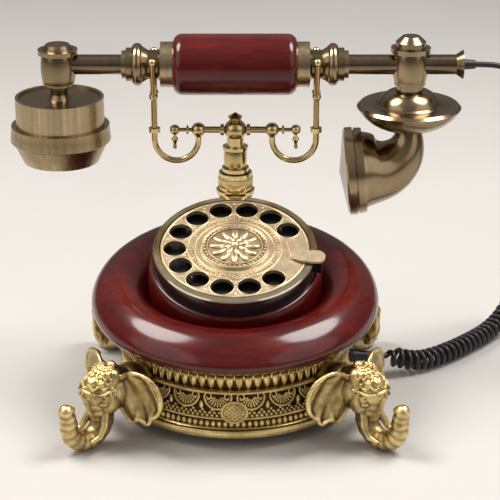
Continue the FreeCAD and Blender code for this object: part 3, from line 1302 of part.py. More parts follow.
def biarc(start, start_way, end, end_way):
    """Two tangent arcs between two points with given directions."""
    gap = end - start
    both = start_way + end_way
    square = 2 * (1 - start_way.dot(end_way))
    lean = gap.dot(both)
    if square < 1e-9:
        reach = gap.Length ** 2 / (4 * gap.dot(end_way))
    else:
        reach = (-lean + math.sqrt(lean * lean + square * gap.Length ** 2)) / square
    joint = (start + end + (start_way - end_way) * reach) * 0.5
    edges = []
    for origin, way, target in ((start, start_way, joint), (end, end_way * -1, joint)):
        chord = target - origin
        normal = chord - way * chord.dot(way)
        if normal.Length < 1e-4 * chord.Length:
            pair = (origin, target) if origin is start else (target, origin)
            edges.append(Part.LineSegment(*pair).toShape())
            continue
        normal.normalize()
        radius = chord.Length ** 2 / (2 * chord.dot(normal))
        half = math.atan2(chord.dot(normal), chord.dot(way))
        middle = origin + way * (radius * math.sin(half)) + normal * (radius * (1 - math.cos(half)))
        ends = (origin, middle, target) if origin is start else (target, middle, origin)
        edges.append(Part.Arc(*ends).toShape())
    return edges


def least_gap(points, wire):
    """The least gap between stretches of the wire that lie well apart along it."""
    walked = [0.0]
    for before, after in zip(points, points[1:]):
        walked.append(walked[-1] + (after - before).Length)
    least = math.inf
    for index, point in enumerate(points):
        for later in range(index + 1, len(points)):
            apart = walked[later] - walked[index]
            if apart > WIDEST_LOOK * wire:
                break
            if apart > NEAREST_LOOK * wire:
                least = min(least, (point - points[later]).Length - wire)
    return least


def curly_cord():
    """The handset's curly cord: one unbroken wire, straight at both ends and curled between."""
    line = MiddleLine(cord_route())
    wire = 2 * dim.wire_radius.value
    curl_start = dim.base_lead.value
    curl_end = line.length - dim.handset_lead.value
    turns = round((curl_end - curl_start) / dim.curl_pitch.value - 2 * RAMP_TURNS)
    quarters = 4 * turns
    points = [curl_point(line, turns, index / quarters) for index in range(quarters + 1)]
    step = 0.02 / quarters
    ways = [line.at(curl_start)[1]]
    for index in range(1, quarters):
        share = index / quarters
        ahead = curl_point(line, turns, share + step)
        behind = curl_point(line, turns, share - step)
        ways.append((ahead - behind).normalize())
    ways.append(line.at(curl_end)[1])
    edges = [Part.LineSegment(line.at(0)[0], points[0]).toShape()]
    for index in range(quarters):
        edges += biarc(points[index], ways[index], points[index + 1], ways[index + 1])
    edges += line.edges_from(curl_end)
    path = Part.Wire(edges)
    start, way = line.at(0)
    profile = Part.Wire([Part.Circle(start, way, dim.wire_radius.value).toShape()])
    shell = Part.BRepOffsetAPI.MakePipeShell(path)
    shell.add(profile)
    shell.build()
    shell.makeSolid()
    cord = DOC.addObject("Part::Feature", "handset_cord")
    cord.Shape = Part.Solid(shell.shape()) if shell.shape().ShapeType == "Shell" else shell.shape()
    node(cord)
    fine = [curl_point(line, turns, index / (6 * quarters)) for index in range(6 * quarters + 1)]
    print("cord middle line", round(line.length, 1), "curls", turns, "wire length", round(path.Length, 1))
    print("cord least bend of the middle line", round(min(line.radii), 1))
    print("cord least gap to itself", round(least_gap(fine, wire), 2))
    radii = [edge.Curve.Radius for edge in edges if isinstance(edge.Curve, Part.Circle)]
    print("cord least radius of the wire's own bends", round(min(radii), 2), "wire radius", wire / 2)
    plain = path.Length * math.pi * wire ** 2 / 4
    print("cord volume over section times length", round(cord.Shape.Volume / plain, 4))


def check():
    """Stop before writing anything if an object failed or a piece has no valid shape."""
    for thing in DOC.Objects:
        if "Invalid" in thing.State or "Error" in thing.State:
            raise RuntimeError(f"{thing.Label} failed: {thing.State}")
    for piece in NODES:
        if piece.Shape.isNull() or not piece.Shape.isValid() or not piece.Shape.Solids:
            raise RuntimeError(f"{piece.Label} has no valid solid")


def write():
    """Write each piece to its own file."""
    os.makedirs("parts", exist_ok=True)
    for piece in NODES:
        piece.Shape.exportStep(f"parts/{piece.Label}.step")


base()
elephants()
wood()
dial_case()
dial_works()
neck()
plunger()
cradle()
handset_bar()
ear_piece()
mouth_piece()
ringer()
glands()
curly_cord()
DOC.recompute()
check()
write()
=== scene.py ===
import json
import math

import bmesh
import bpy
import numpy as np
from mathutils import Matrix, Vector
from mathutils.bvhtree import BVHTree


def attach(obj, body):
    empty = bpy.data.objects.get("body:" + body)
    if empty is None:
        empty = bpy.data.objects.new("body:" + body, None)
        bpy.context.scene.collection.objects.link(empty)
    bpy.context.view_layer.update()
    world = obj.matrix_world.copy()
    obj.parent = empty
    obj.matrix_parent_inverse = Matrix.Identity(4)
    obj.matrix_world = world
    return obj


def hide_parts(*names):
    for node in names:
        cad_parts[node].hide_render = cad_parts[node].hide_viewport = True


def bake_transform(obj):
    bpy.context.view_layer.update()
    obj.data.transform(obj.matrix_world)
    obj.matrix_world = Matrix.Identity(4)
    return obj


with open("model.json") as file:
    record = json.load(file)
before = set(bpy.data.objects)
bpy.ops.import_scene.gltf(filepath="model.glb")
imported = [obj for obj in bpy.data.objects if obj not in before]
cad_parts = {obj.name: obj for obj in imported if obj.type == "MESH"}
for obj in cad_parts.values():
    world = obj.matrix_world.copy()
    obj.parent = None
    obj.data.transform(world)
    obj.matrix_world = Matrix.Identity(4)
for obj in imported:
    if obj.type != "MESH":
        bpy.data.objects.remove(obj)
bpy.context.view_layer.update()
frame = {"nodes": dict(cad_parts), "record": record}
NODES = frame["nodes"]

# Sizes are in millimetres; points and matrices are in metres, made from millimetres by point() and at()

MM = 0.001
FULL_TURN = 2 * math.pi
FRONT = -math.pi / 2


def point(x, y, z):
    return Vector((x, y, z)) * MM


def at(x, y, z):
    """The matrix that moves a form to a point."""
    return Matrix.Translation(point(x, y, z))


def spin(angle, axis="Z"):
    return Matrix.Rotation(angle, 4, axis)


DIAL = at(0, -12, 97) @ spin(math.radians(19), "X")
NECK = at(0, 45, 0)

# Helpers that build forms


def link_object(name, data):
    obj = bpy.data.objects.new(name, data)
    bpy.context.scene.collection.objects.link(obj)
    return obj


class Shape:
    """Verts and faces gathered from several simple forms."""

    def __init__(self, verts=(), faces=()):
        self.verts = []
        self.faces = []
        self.add(verts, faces)

    def add(self, verts, faces, matrix=None):
        start = len(self.verts)
        self.verts += [matrix @ Vector(v) if matrix else Vector(v) for v in verts]
        self.faces += [[start + i for i in face] for face in faces]

    def merge(self, other):
        self.add(other.verts, other.faces)

    def copies(self, other, matrices):
        for matrix in matrices:
            self.add(other.verts, other.faces, matrix)
        return self

    def make(self, name, material):
        """A smooth-shaded mesh object with its normals facing out."""
        mesh = bpy.data.meshes.new(name)
        mesh.from_pydata([tuple(v) for v in self.verts], [], [tuple(f) for f in self.faces])
        mesh.validate()
        mesh.materials.append(material)
        work = bmesh.new()
        work.from_mesh(mesh)
        bmesh.ops.recalc_face_normals(work, faces=work.faces)
        work.to_mesh(mesh)
        work.free()
        for polygon in mesh.polygons:
            polygon.use_smooth = True
        return link_object(name, mesh)


def ring_faces(rings, count, start=0):
    """Quads between rings of count verts each, which follow one another from start."""
    faces = []
    for ring in range(rings - 1):
        low, high = start + ring * count, start + (ring + 1) * count
        for index in range(count):
            after = (index + 1) % count
            faces.append((low + index, low + after, high + after, high + index))
    return faces


def lathe(profile, segments):
    """A form turned about Z; profile is (radius, height)."""
    verts = []
    for radius, height in profile:
        for index in range(segments):
            angle = FULL_TURN * index / segments
            verts.append((radius * MM * math.cos(angle), radius * MM * math.sin(angle), height * MM))
    return Shape(verts, ring_faces(len(profile), segments))


def egg(radii, rings=6, segments=8):
    """A ball scaled to three half-lengths."""
    along, across, high = (radius * MM for radius in radii)
    work = bmesh.new()
    bmesh.ops.create_uvsphere(work, u_segments=segments, v_segments=rings, radius=1.0)
    work.verts.index_update()
    shape = Shape([(v.co.x * along, v.co.y * across, v.co.z * high) for v in work.verts],
                  [[v.index for v in f.verts] for f in work.faces])
    work.free()
    return shape


def tube(points, radius, sides, ends=True):
    """A round tube through points; radius is a number or one per point."""
    count = len(points)
    radii = radius if isinstance(radius, (list, tuple)) else [radius] * count
    tangents = [(points[min(i + 1, count - 1)] - points[max(i - 1, 0)]).normalized() for i in range(count)]
    normal = tangents[0].orthogonal().normalized()
    verts = []
    for index, (middle, tangent) in enumerate(zip(points, tangents)):
        if index:
            normal = (tangents[index - 1].rotation_difference(tangent) @ normal).normalized()
        side = tangent.cross(normal)
        for step in range(sides):
            angle = FULL_TURN * step / sides
            verts.append(middle + (normal * math.cos(angle) + side * math.sin(angle)) * (radii[index] * MM))
    faces = ring_faces(count, sides)
    if ends:
        last = (count - 1) * sides
        faces += [tuple(range(sides)), tuple(range(last, last + sides))]
    return Shape(verts, faces)


def around(count, radius, height, lean=0.0, start=0.0):
    """Places on a circle, local +X pointing outward; lean tips the top outward."""
    return [spin(start + FULL_TURN * index / count) @ at(radius, 0, height) @ spin(lean, "Y")
            for index in range(count)]


def smooth_line(knots, steps, closed=False):
    """Points of a smooth line through knots; an open line stops short of its last knot."""
    knots = np.array(knots)
    count = len(knots)
    line = []
    for index in range(count if closed else count - 1):
        picks = [index - 1, index, index + 1, index + 2]
        picks = [k % count if closed else min(max(k, 0), count - 1) for k in picks]
        before, one, two, after = knots[picks]
        for step in range(steps):
            t = step / steps
            line.append(0.5 * (2 * one + (two - before) * t + (2 * before - 5 * one + 4 * two - after) * t ** 2
                               + (3 * one - before - 3 * two + after) * t ** 3))
    return line


def settle(obj, body, slot, *nodes):
    """Ride on a body and stand for CAD nodes; the finish slot argument is not used."""
    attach(obj, body)
    if nodes:
        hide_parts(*nodes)
    return obj


# Materials


class Paint:
    """A node material with short ways to add its textures."""

    def __init__(self, name, **sockets):
        self.material = bpy.data.materials.new(name)
        self.material.use_nodes = True
        self.tree = self.material.node_tree
        self.shader = self.tree.nodes["Principled BSDF"]
        self.where = self.node("ShaderNodeTexCoord")
        for socket, value in sockets.items():
            self.shader.inputs[socket.replace("_", " ")].default_value = value

    def node(self, kind, settings=None, **inputs):
        """A node with its settings, and its inputs by name, as values or as the sockets that feed them."""
        made = self.tree.nodes.new(kind)
        for key, value in (settings or {}).items():
            setattr(made, key, value)
        for name, value in inputs.items():
            socket = made.inputs[name.replace("_", " ")]
            if isinstance(value, bpy.types.NodeSocket):
                self.join(value, socket)
            else:
                socket.default_value = value
        return made

    def join(self, start, end):
        self.tree.links.new(start, end)

    def noise(self, scale, stretch=(1, 1, 1), detail=4.0):
        spread = self.node("ShaderNodeMapping", Scale=stretch, Vector=self.where.outputs["Object"])
        made = self.node("ShaderNodeTexNoise", Scale=scale, Detail=detail, Roughness=0.55,
                         Vector=spread.outputs["Vector"])
        return made.outputs["Fac"]

    def ramp(self, source, stops):
        made = self.node("ShaderNodeValToRGB", Fac=source)
        bar = made.color_ramp
        while len(bar.elements) < len(stops):
            bar.elements.new(0.5)
        for element, (place, colour) in zip(bar.elements, stops):
            element.position = place
            element.color = (*colour, 1.0)
        return made.outputs["Color"]

    def mix(self, factor, colour, source):
        """A plain colour where factor is 0, going over to source where it is 1."""
        made = self.node("ShaderNodeMix", {"data_type": "RGBA"}, Factor=factor, A=(*colour, 1.0), B=source)
        return made.outputs["Result"]

    def colour(self, source):
        self.join(source, self.shader.inputs["Base Color"])

    def roughness(self, source, low, high):
        made = self.node("ShaderNodeMapRange", To_Min=low, To_Max=high, Value=source)
        self.join(made.outputs["Result"], self.shader.inputs["Roughness"])

    def bump(self, source, strength, distance):
        made = self.node("ShaderNodeBump", Strength=strength, Distance=distance, Height=source)
        self.join(made.outputs["Normal"], self.shader.inputs["Normal"])

    def hollow_shade_and_patina(self, low, high):
        """0 in hollows and 1 on edges."""
        place = self.node("ShaderNodeNewGeometry")
        made = self.node("ShaderNodeMapRange", From_Min=low, From_Max=high, Value=place.outputs["Pointiness"])
        return made.outputs["Result"]


# Where a tone's stops lie on the noise, how far roughness swings, how much finer the grain is, and its depth in metres
METAL_STOPS, METAL_SWING = (0.30, 0.52, 0.75), (0.8, 1.3)
METAL_FINER, METAL_DEPTH = 8, 0.0004
PLAIN_STOPS, PLAIN_SWING = (0.3, 0.7), (0.8, 1.2)
PLAIN_FINER, PLAIN_DEPTH = 10, 0.0002


def metal(name, bright, mid, dark, rough, scale=60.0, stretch=(1, 1, 1), grain=0.12, hollow=(0.42, 0.56), patina=0.28):
    """Metal whose tone drifts at random, with its hollows painted dark: painted shade, and on the antique golds also
    patina; edges keep the drifting tone.
    """
    paint = Paint(name, Metallic=1.0)
    drift = paint.noise(scale, stretch)
    dull = tuple((1 - patina) * m + patina * d for m, d in zip(mid, dark))
    tone = paint.ramp(drift, list(zip(METAL_STOPS, (dull, mid, bright))))
    # Painted shade: the hollows that pointiness finds take the dark colour; on the antique golds this is also patina
    paint.colour(paint.mix(paint.hollow_shade_and_patina(*hollow), dark, tone))
    fine = paint.noise(scale * METAL_FINER, stretch, detail=2.0)
    paint.roughness(fine, *(rough * share for share in METAL_SWING))
    paint.bump(fine, grain, METAL_DEPTH)
    return paint.material


WOOD_TONES = [(0.28, (0.060, 0.0020, 0.0018)), (0.52, (0.088, 0.0032, 0.0024)), (0.78, (0.122, 0.0060, 0.0034))]
PORE_SHARES = [(0.35, (0.55, 0.5, 0.5)), (0.6, (1, 1, 1))]
PORE_COLOUR = (0.03, 0.0015, 0.0015)


def varnished_wood(name):
    """Red-brown streaks and fine pores under a glossy coat."""
    paint = Paint(name, Coat_Weight=0.75, Coat_Roughness=0.13, Specular_IOR_Level=0.1)
    streaks = paint.noise(26.0, stretch=(1.0, 1.0, 6.0), detail=6.0)
    pores = paint.noise(240.0, stretch=(0.25, 1.0, 1.6), detail=3.0)
    paint.colour(paint.mix(paint.ramp(pores, PORE_SHARES), PORE_COLOUR, paint.ramp(streaks, WOOD_TONES)))
    paint.roughness(streaks, low=0.26, high=0.38)
    paint.bump(pores, 0.04, PLAIN_DEPTH)
    return paint.material


def plain(name, colour, rough, spread, scale, bump=0.05, **sockets):
    """A dielectric with a little drift in tone and gloss."""
    paint = Paint(name, **sockets)
    drift = paint.noise(scale)
    darker = tuple(c * (1 - spread) for c in colour)
    paint.colour(paint.ramp(drift, list(zip(PLAIN_STOPS, (darker, colour)))))
    paint.roughness(drift, *(rough * share for share in PLAIN_SWING))
    paint.bump(paint.noise(scale * PLAIN_FINER), bump, PLAIN_DEPTH)
    return paint.material


GOLD = metal("antique_gold", bright=(0.92, 0.74, 0.38), mid=(0.78, 0.59, 0.25), dark=(0.09, 0.055, 0.02),
             rough=0.34, scale=120.0, grain=0.45, hollow=(0.462, 0.522))
AGED = metal("aged_gold", bright=(0.95, 0.77, 0.41), mid=(0.75, 0.57, 0.255), dark=(0.07, 0.045, 0.018),
             rough=0.31, scale=170.0, grain=0.5, hollow=(0.472, 0.522), patina=0.62)
SHADE = metal("darkened_gold", bright=(0.16, 0.11, 0.05), mid=(0.09, 0.06, 0.025), dark=(0.03, 0.02, 0.01),
              rough=0.45, scale=90.0, grain=0.3)
BRASS = metal("polished_brass", bright=(0.82, 0.66, 0.36), mid=(0.68, 0.53, 0.26), dark=(0.36, 0.25, 0.10),
              rough=0.17, scale=45.0, grain=0.03)
BROWN = metal("brown_brass", bright=(0.50, 0.39, 0.24), mid=(0.37, 0.28, 0.165), dark=(0.17, 0.12, 0.065),
              rough=0.20, scale=40.0, grain=0.05)
TUBE = metal("dark_brass", bright=(0.27, 0.205, 0.13), mid=(0.20, 0.15, 0.095), dark=(0.10, 0.07, 0.04),
             rough=0.20, scale=40.0, grain=0.05)
BRUSHED = metal("brushed_brass", bright=(0.56, 0.445, 0.28), mid=(0.41, 0.315, 0.185), dark=(0.21, 0.155, 0.08),
                rough=0.26, scale=30.0, stretch=(12.0, 12.0, 0.4), grain=0.10)
PALE = metal("pale_gold", bright=(0.84, 0.71, 0.50), mid=(0.68, 0.55, 0.36), dark=(0.22, 0.155, 0.07),
             rough=0.34, scale=160.0, grain=0.5)
BEZEL = metal("bright_bezel", bright=(0.84, 0.75, 0.56), mid=(0.74, 0.64, 0.45), dark=(0.40, 0.32, 0.18),
              rough=0.14, grain=0.02)
STEEL = metal("inner_steel", bright=(0.55, 0.55, 0.56), mid=(0.46, 0.46, 0.47), dark=(0.25, 0.25, 0.25), rough=0.35)
WOOD = varnished_wood("mahogany_varnish")
BLACK = plain("black_gloss", (0.012, 0.012, 0.013), rough=0.12, spread=0.4, scale=30.0, bump=0.01, Coat_Weight=0.6)
RUBBER = plain("cord_black", (0.016, 0.015, 0.015), rough=0.38, spread=0.5, scale=60.0)
INNER = plain("inner_plastic", (0.05, 0.10, 0.06), rough=0.5, spread=0.4, scale=50.0)

FINISH = {
    "antique_gold": GOLD, "polished_brass": BRASS, "brown_brass": BROWN, "pale_gold": PALE, "bright_bezel": BEZEL,
    "mahogany": WOOD, "black_gloss": BLACK, "cord_rubber": RUBBER, "steel": STEEL, "inner_plastic": INNER,
}
OWN_FINISH = {
    "ear_drum": BRUSHED, "ear_ring": BRUSHED, "ferrule_left": BRUSHED, "ferrule_right": BRUSHED,
    "handset_tube": TUBE, "end_tube": TUBE, "base_casting": SHADE, "finger_stop": PALE, "line_jack": BLACK,
}
for entry in frame["record"]["subparts"]:
    coats = NODES[entry["node"]].data.materials
    coats.clear()
    coats.append(OWN_FINISH.get(entry["node"], FINISH[entry["material_slot"]]))

# The curly cord

ROUTE = [
    (80.0, 26.0, 13.2), (92.0, 26.0, 13.2), (108.0, 30.0, 7.2), (126.0, 43.0, 6.6), (143.0, 60.0, 6.5),
    (158.0, 78.0, 6.6), (169.0, 91.0, 13.0), (177.0, 99.0, 27.0), (180.0, 99.0, 47.0), (179.5, 90.0, 72.0),
    (175.0, 74.5, 98.0), (168.0, 59.0, 124.0), (163.0, 48.5, 148.0), (162.2, 45.0, 171.0), (155.3, 45.0, 184.5),
    (148.5, 45.0, 187.0), (137.0, 45.0, 187.0),
]
WIRE = 1.65
CURL = 4.55
PITCH = 4.7
BASE_LEAD = 8.0
HANDSET_LEAD = 46.0
RAMP = 7.0
WALK_STEP = 0.12
WAY_REACH = 0.5
KEPT_EVERY = 3
SPLIT_LEVEL = 96.0
SPLIT_BEYOND = 140.0


def route_line():
    """Points and walked lengths along the route's smooth spline, in millimetres."""
    data = bpy.data.curves.new("cord_route", "CURVE")
    data.dimensions = "3D"
    spline = data.splines.new("NURBS")
    spline.points.add(len(ROUTE) - 1)
    for control, place in zip(spline.points, ROUTE):
        control.co = (*place, 1.0)
    spline.order_u = 3
    spline.use_endpoint_u = True
    spline.resolution_u = 40
    obj = link_object("cord_route", data)
    mesh = bpy.data.meshes.new_from_object(obj)
    points = np.array([v.co[:] for v in mesh.vertices])
    bpy.data.objects.remove(obj)
    walked = np.concatenate([[0], np.cumsum(np.linalg.norm(np.diff(points, axis=0), axis=1))])
    return points, walked


def curled_wire():
    """Points of the wire: straight leads at both ends, and curls between them that swell and shrink smoothly."""
    points, walked = route_line()
    total = walked[-1]

    def place(walk):
        return np.array([np.interp(walk, walked, points[:, axis]) for axis in range(3)])

    wire = []
    phase = 0.0
    walk = 0.0
    while walk < total:
        way = place(min(walk + WAY_REACH, total)) - place(max(walk - WAY_REACH, 0))
        way /= np.linalg.norm(way)
        inside = min(walk - BASE_LEAD, total - HANDSET_LEAD - walk)
        grown = min(max(inside / RAMP, 0.0), 1.0)
        swell = 0.5 - 0.5 * math.cos(math.pi * grown)
        phase += FULL_TURN * WALK_STEP / PITCH * grown
        across = np.array([0.0, 1.0, 0.0])
        across = across - way * across.dot(way)
        across /= np.linalg.norm(across)
        upward = np.cross(way, across)
        wire.append(place(walk) + (across * math.cos(phase) + upward * math.sin(phase)) * CURL * swell)
        walk += WALK_STEP
    wire.append(points[-1])
    return [point(*p) for p in wire[::KEPT_EVERY]]


def cord_piece(name, points, nodes):
    """A length of the wire, as a tube that stands for the given CAD nodes."""
    obj = tube(points, WIRE, sides=12).make(name, RUBBER)
    if nodes:
        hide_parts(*nodes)
    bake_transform(obj)


wire_points = curled_wire()
split = next(i for i, p in enumerate(wire_points) if p.z > SPLIT_LEVEL * MM and p.x > SPLIT_BEYOND * MM)
cord_piece("cord_lower", wire_points[:split + 1],
           nodes=["handset_cord"])
cord_piece("cord_upper", wire_points[split:][::-1],
           nodes=[])

# The turned wooden body

# Radius, height, and how much of the ring's slope a place takes
WOOD_LINE = [
    (60.0, 44.4, 0.0), (64.0, 44.4, 0.0), (65.2, 44.6, 0.0), (68.6, 45.4, 0.02), (72.6, 47.2, 0.06),
    (76.4, 50.2, 0.14), (79.3, 53.8, 0.27), (81.3, 58.0, 0.45), (82.0, 62.2, 0.65), (81.2, 66.6, 0.84),
    (78.8, 70.8, 0.96), (75.0, 74.4, 1.0), (70.2, 77.0, 1.0), (65.0, 78.0, 1.0), (60.0, 77.0, 1.0), (55.6, 74.2, 1.0),
    (52.2, 70.0, 1.0), (50.0, 65.4, 1.0), (48.8, 61.4, 1.0), (46.0, 58.0, 1.0), (40.0, 56.0, 1.0),
]
WOOD_COLLAR = [
    (46.15, -10.5), (46.9, -10.45), (47.5, -10.9), (48.0, -12.4), (48.7, -15.5), (49.3, -20.0), (49.6, -36.0),
]
NECK_SEAT = [(0.0, 80.0), (12.6, 80.0), (13.6, 79.4), (14.0, 78.2), (14.4, 60.0)]
RING_SLOPE = math.tan(math.radians(8))
WOOD_SEGMENTS = 128


def wood_body():
    """The bowl and its tipped ring, with the dial's slanted collar and the neck's seat."""
    line = smooth_line(WOOD_LINE, steps=6)
    verts = []
    for radius, height, share in line:
        for index in range(WOOD_SEGMENTS):
            angle = FULL_TURN * index / WOOD_SEGMENTS
            y = radius * math.sin(angle)
            verts.append((radius * math.cos(angle) * MM, y * MM, (height + share * y * RING_SLOPE) * MM))
    shape = Shape(verts, ring_faces(len(line), WOOD_SEGMENTS))
    shape.copies(lathe(WOOD_COLLAR, WOOD_SEGMENTS), [DIAL])
    shape.copies(lathe(NECK_SEAT, segments=64), [NECK])
    settle(shape.make("wood_turning", WOOD), "root", "mahogany", "wood_body")


wood_body()

# Relief on the cast base

# Height and radius of the middle band's two edges
BAND_LOW, BAND_HIGH = (17.0, 66.0), (31.4, 62.6)
RIM_PROFILES = [
    [(63.0, 31.0), (64.6, 31.2), (65.6, 31.8), (65.9, 32.5), (65.4, 33.2), (64.2, 33.6), (62.6, 33.8)],
    [(62.8, 42.6), (64.4, 42.7), (64.9, 43.2), (64.6, 43.9), (63.4, 44.3), (62.0, 44.4)],
    [(66.2, 16.9), (67.0, 17.0), (67.3, 17.4), (66.9, 17.9), (65.8, 18.1)],
    [(67.0, 6.5), (69.2, 6.7), (70.1, 8.0), (70.3, 9.6), (70.0, 11.2), (69.0, 12.4), (67.6, 12.9), (66.8, 12.9)],
]
TEETH, TOOTH_LEAN = 78, math.radians(8)
TOOTH_CIRCLE, TOOTH_HEIGHT = 63.6, 37.6
TOOTH_LEVELS, TOOTH_RADII, TOOTH_FLATNESS = (4.3, 3.2, 0.8, -1.8, -4.2), [1.2, 2.15, 2.2, 1.5, 0.3], 0.62
TOOTH_SPINE, TOOTH_SPINE_PLACE = (0.7, 0.5, 3.2), (1.1, 0, 0.2)
DART, DART_CIRCLE, DART_HEIGHT = (0.8, 0.8, 1.9), 64.0, 41.0
PALMETTES, PALMETTE_FOOT, PALMETTE_WIDTH, PALMETTE_DROP = 22, 29.6, 7.6, 7.0
BORDER_STEPS, BORDER_RADIUS, BORDER_RISE = 24, 0.7, 0.7
SCROLL_PLACE, SCROLL_HEIGHT, SCROLL_RISE = 5.3, 29.4, 0.8
SCROLL_STEPS, SCROLL_TURN, SCROLL_OUTER, SCROLL_SHRINK = 12, -30, 2.3, 1.5
SCROLL_RADIUS, SCROLL_TAPER = 0.62, 0.03
RIBS, RIB_SPREAD, RIB_STEPS = 9, 17, 5
RIB_FOOT, RIB_START, RIB_LENGTH, RIB_WIDENING, RIB_RISE = 29.8, 1.6, 4.5, 1.05, 0.55
RIB_RADIUS, RIB_GROWTH = 0.28, 0.085
# Height and number of each row of filigree spots
SPOT_ROWS = ((18.9, 150), (20.4, 150), (21.9, 75))
SPOT, SPOT_RISE = (0.62, 0.95, 0.95), 0.35
LEAF, LEAF_HEIGHT, LEAF_RISE = (0.9, 1.3, 2.6), 24.2, 0.5
BEAD, BEADS, BEAD_CIRCLE, BEAD_HEIGHT = (1.35, 1.32, 1.75), 126, 67.5, 14.8
# The oval's middle, half-lengths and how far it stands out
OVAL_HEIGHT, OVAL_FIELD, OVAL_BORDER = 21.4, (6.6, 5.0), (7.0, 5.5)
OVAL_ROWS, OVAL_SIDES, OVAL_RISE, OVAL_FALL = 5, 32, 2.1, 0.9
WEAVE_LIMIT, WEAVE_REACH, WEAVE_STEPS = (6.2, 4.7), 6.0, 14
WEAVE_STRANDS, WEAVE_SLOPE, WEAVE_GAP, WEAVE_RADIUS = 4, 0.75, 2.0, 0.36
WEAVE_RISE, WEAVE_FALL = 2.3, 0.02
ROPE_RADIUS, ROPE_RISE = 0.75, 1.4
ROPE_GRAIN, ROPE_GRAINS, ROPE_TWIST = (0.8, 0.55, 0.55), 48, 0.6


def on_band(centre, along, height, out):
    """A point on the base's middle band: along the circle from a centre angle, up and outward."""
    slope = (BAND_HIGH[1] - BAND_LOW[1]) / (BAND_HIGH[0] - BAND_LOW[0])
    radius = BAND_LOW[1] + (height - BAND_LOW[0]) * slope + out
    angle = centre + along / radius
    return point(radius * math.cos(angle), radius * math.sin(angle), height)


def palmette(shape, centre):
    """Ribs that fan out over a border with a scroll at each end."""
    border = []
    for step in range(BORDER_STEPS + 1):
        angle = math.pi + math.pi * step / BORDER_STEPS
        border.append(on_band(centre, PALMETTE_WIDTH * math.cos(angle),
                              PALMETTE_FOOT + PALMETTE_DROP * math.sin(angle), BORDER_RISE))
    for side in (-1, 1):
        scroll = []
        for step in range(SCROLL_STEPS + 1):
            angle = math.radians(SCROLL_TURN * step)
            radius = SCROLL_OUTER - SCROLL_SHRINK * step / SCROLL_STEPS
            scroll.append(on_band(centre, side * (SCROLL_PLACE + radius * math.cos(angle)),
                                  SCROLL_HEIGHT - radius * math.sin(angle), SCROLL_RISE))
        radii = [SCROLL_RADIUS * (1 - SCROLL_TAPER * step) for step in range(SCROLL_STEPS + 1)]
        shape.merge(tube(scroll, radii, sides=7))
    shape.merge(tube(border, BORDER_RADIUS, sides=7))
    for rib in range(RIBS):
        angle = math.radians(-90 + (rib - RIBS // 2) * RIB_SPREAD)
        line = []
        for step in range(RIB_STEPS + 1):
            reach = RIB_START + RIB_LENGTH * step / RIB_STEPS
            line.append(on_band(centre, reach * RIB_WIDENING * math.cos(angle), RIB_FOOT + reach * math.sin(angle),
                                RIB_RISE))
        radii = [RIB_RADIUS + RIB_GROWTH * step for step in range(RIB_STEPS + 1)]
        shape.merge(tube(line, radii, sides=6))


def cartouche(shape):
    """The oval at the front: a rope border round a woven field."""
    verts = [on_band(FRONT, 0, OVAL_HEIGHT, OVAL_RISE)]
    for row in range(1, OVAL_ROWS + 1):
        share = row / OVAL_ROWS
        for side in range(OVAL_SIDES):
            angle = FULL_TURN * side / OVAL_SIDES
            verts.append(on_band(FRONT, OVAL_FIELD[0] * share * math.cos(angle),
                                 OVAL_HEIGHT + OVAL_FIELD[1] * share * math.sin(angle),
                                 OVAL_RISE - OVAL_FALL * share * share))
    faces = [(0, 1 + i, 1 + (i + 1) % OVAL_SIDES) for i in range(OVAL_SIDES)]
    shape.add(verts, faces + ring_faces(OVAL_ROWS, OVAL_SIDES, start=1))
    for lean in (-1, 1):
        for strand in range(-WEAVE_STRANDS, WEAVE_STRANDS + 1):
            line = []
            for step in range(WEAVE_STEPS + 1):
                along = -WEAVE_REACH + 2 * WEAVE_REACH * step / WEAVE_STEPS
                rise = lean * along * WEAVE_SLOPE + strand * WEAVE_GAP
                if (along / WEAVE_LIMIT[0]) ** 2 + (rise / WEAVE_LIMIT[1]) ** 2 < 1:
                    line.append(on_band(FRONT, along, OVAL_HEIGHT + rise, WEAVE_RISE - WEAVE_FALL * along * along))
            if len(line) > 2:
                shape.merge(tube(line, WEAVE_RADIUS, sides=6))
    border = []
    for index in range(ROPE_GRAINS + 1):
        angle = FULL_TURN * index / ROPE_GRAINS
        border.append(on_band(FRONT, OVAL_BORDER[0] * math.cos(angle),
                              OVAL_HEIGHT + OVAL_BORDER[1] * math.sin(angle), ROPE_RISE))
    shape.merge(tube(border, ROPE_RADIUS, sides=8, ends=False))
    grain = egg(ROPE_GRAIN, rings=5)
    shape.copies(grain, [Matrix.Translation(p) @ spin(ROPE_TWIST * i, "Y") for i, p in enumerate(border[:-1])])


def clear_of(obj, node_name, margin=4.0 * MM):
    """Cut an ornament away where a CAD piece stands out of it."""
    node = NODES[node_name]
    corners = np.array([node.matrix_world @ Vector(corner) for corner in node.bound_box])
    low, high = corners.min(axis=0), corners.max(axis=0)

    def within(face, grown=0.0):
        centre = face.calc_center_median()
        return all(low[axis] - grown < centre[axis] < high[axis] + grown for axis in range(3))

    work = bmesh.new()
    work.from_mesh(obj.data)
    for axis, normal in ((0, Vector((1, 0, 0))), (2, Vector((0, 0, 1)))):
        for level in (low[axis], high[axis]):
            near = [face for face in work.faces if within(face, margin)]
            edges = {edge for face in near for edge in face.edges}
            verts = {vert for face in near for vert in face.verts}
            bmesh.ops.bisect_plane(work, geom=[*verts, *edges, *near], plane_co=normal * level, plane_no=normal)
    bmesh.ops.delete(work, geom=[face for face in work.faces if within(face)], context="FACES")
    work.to_mesh(obj.data)
    work.free()


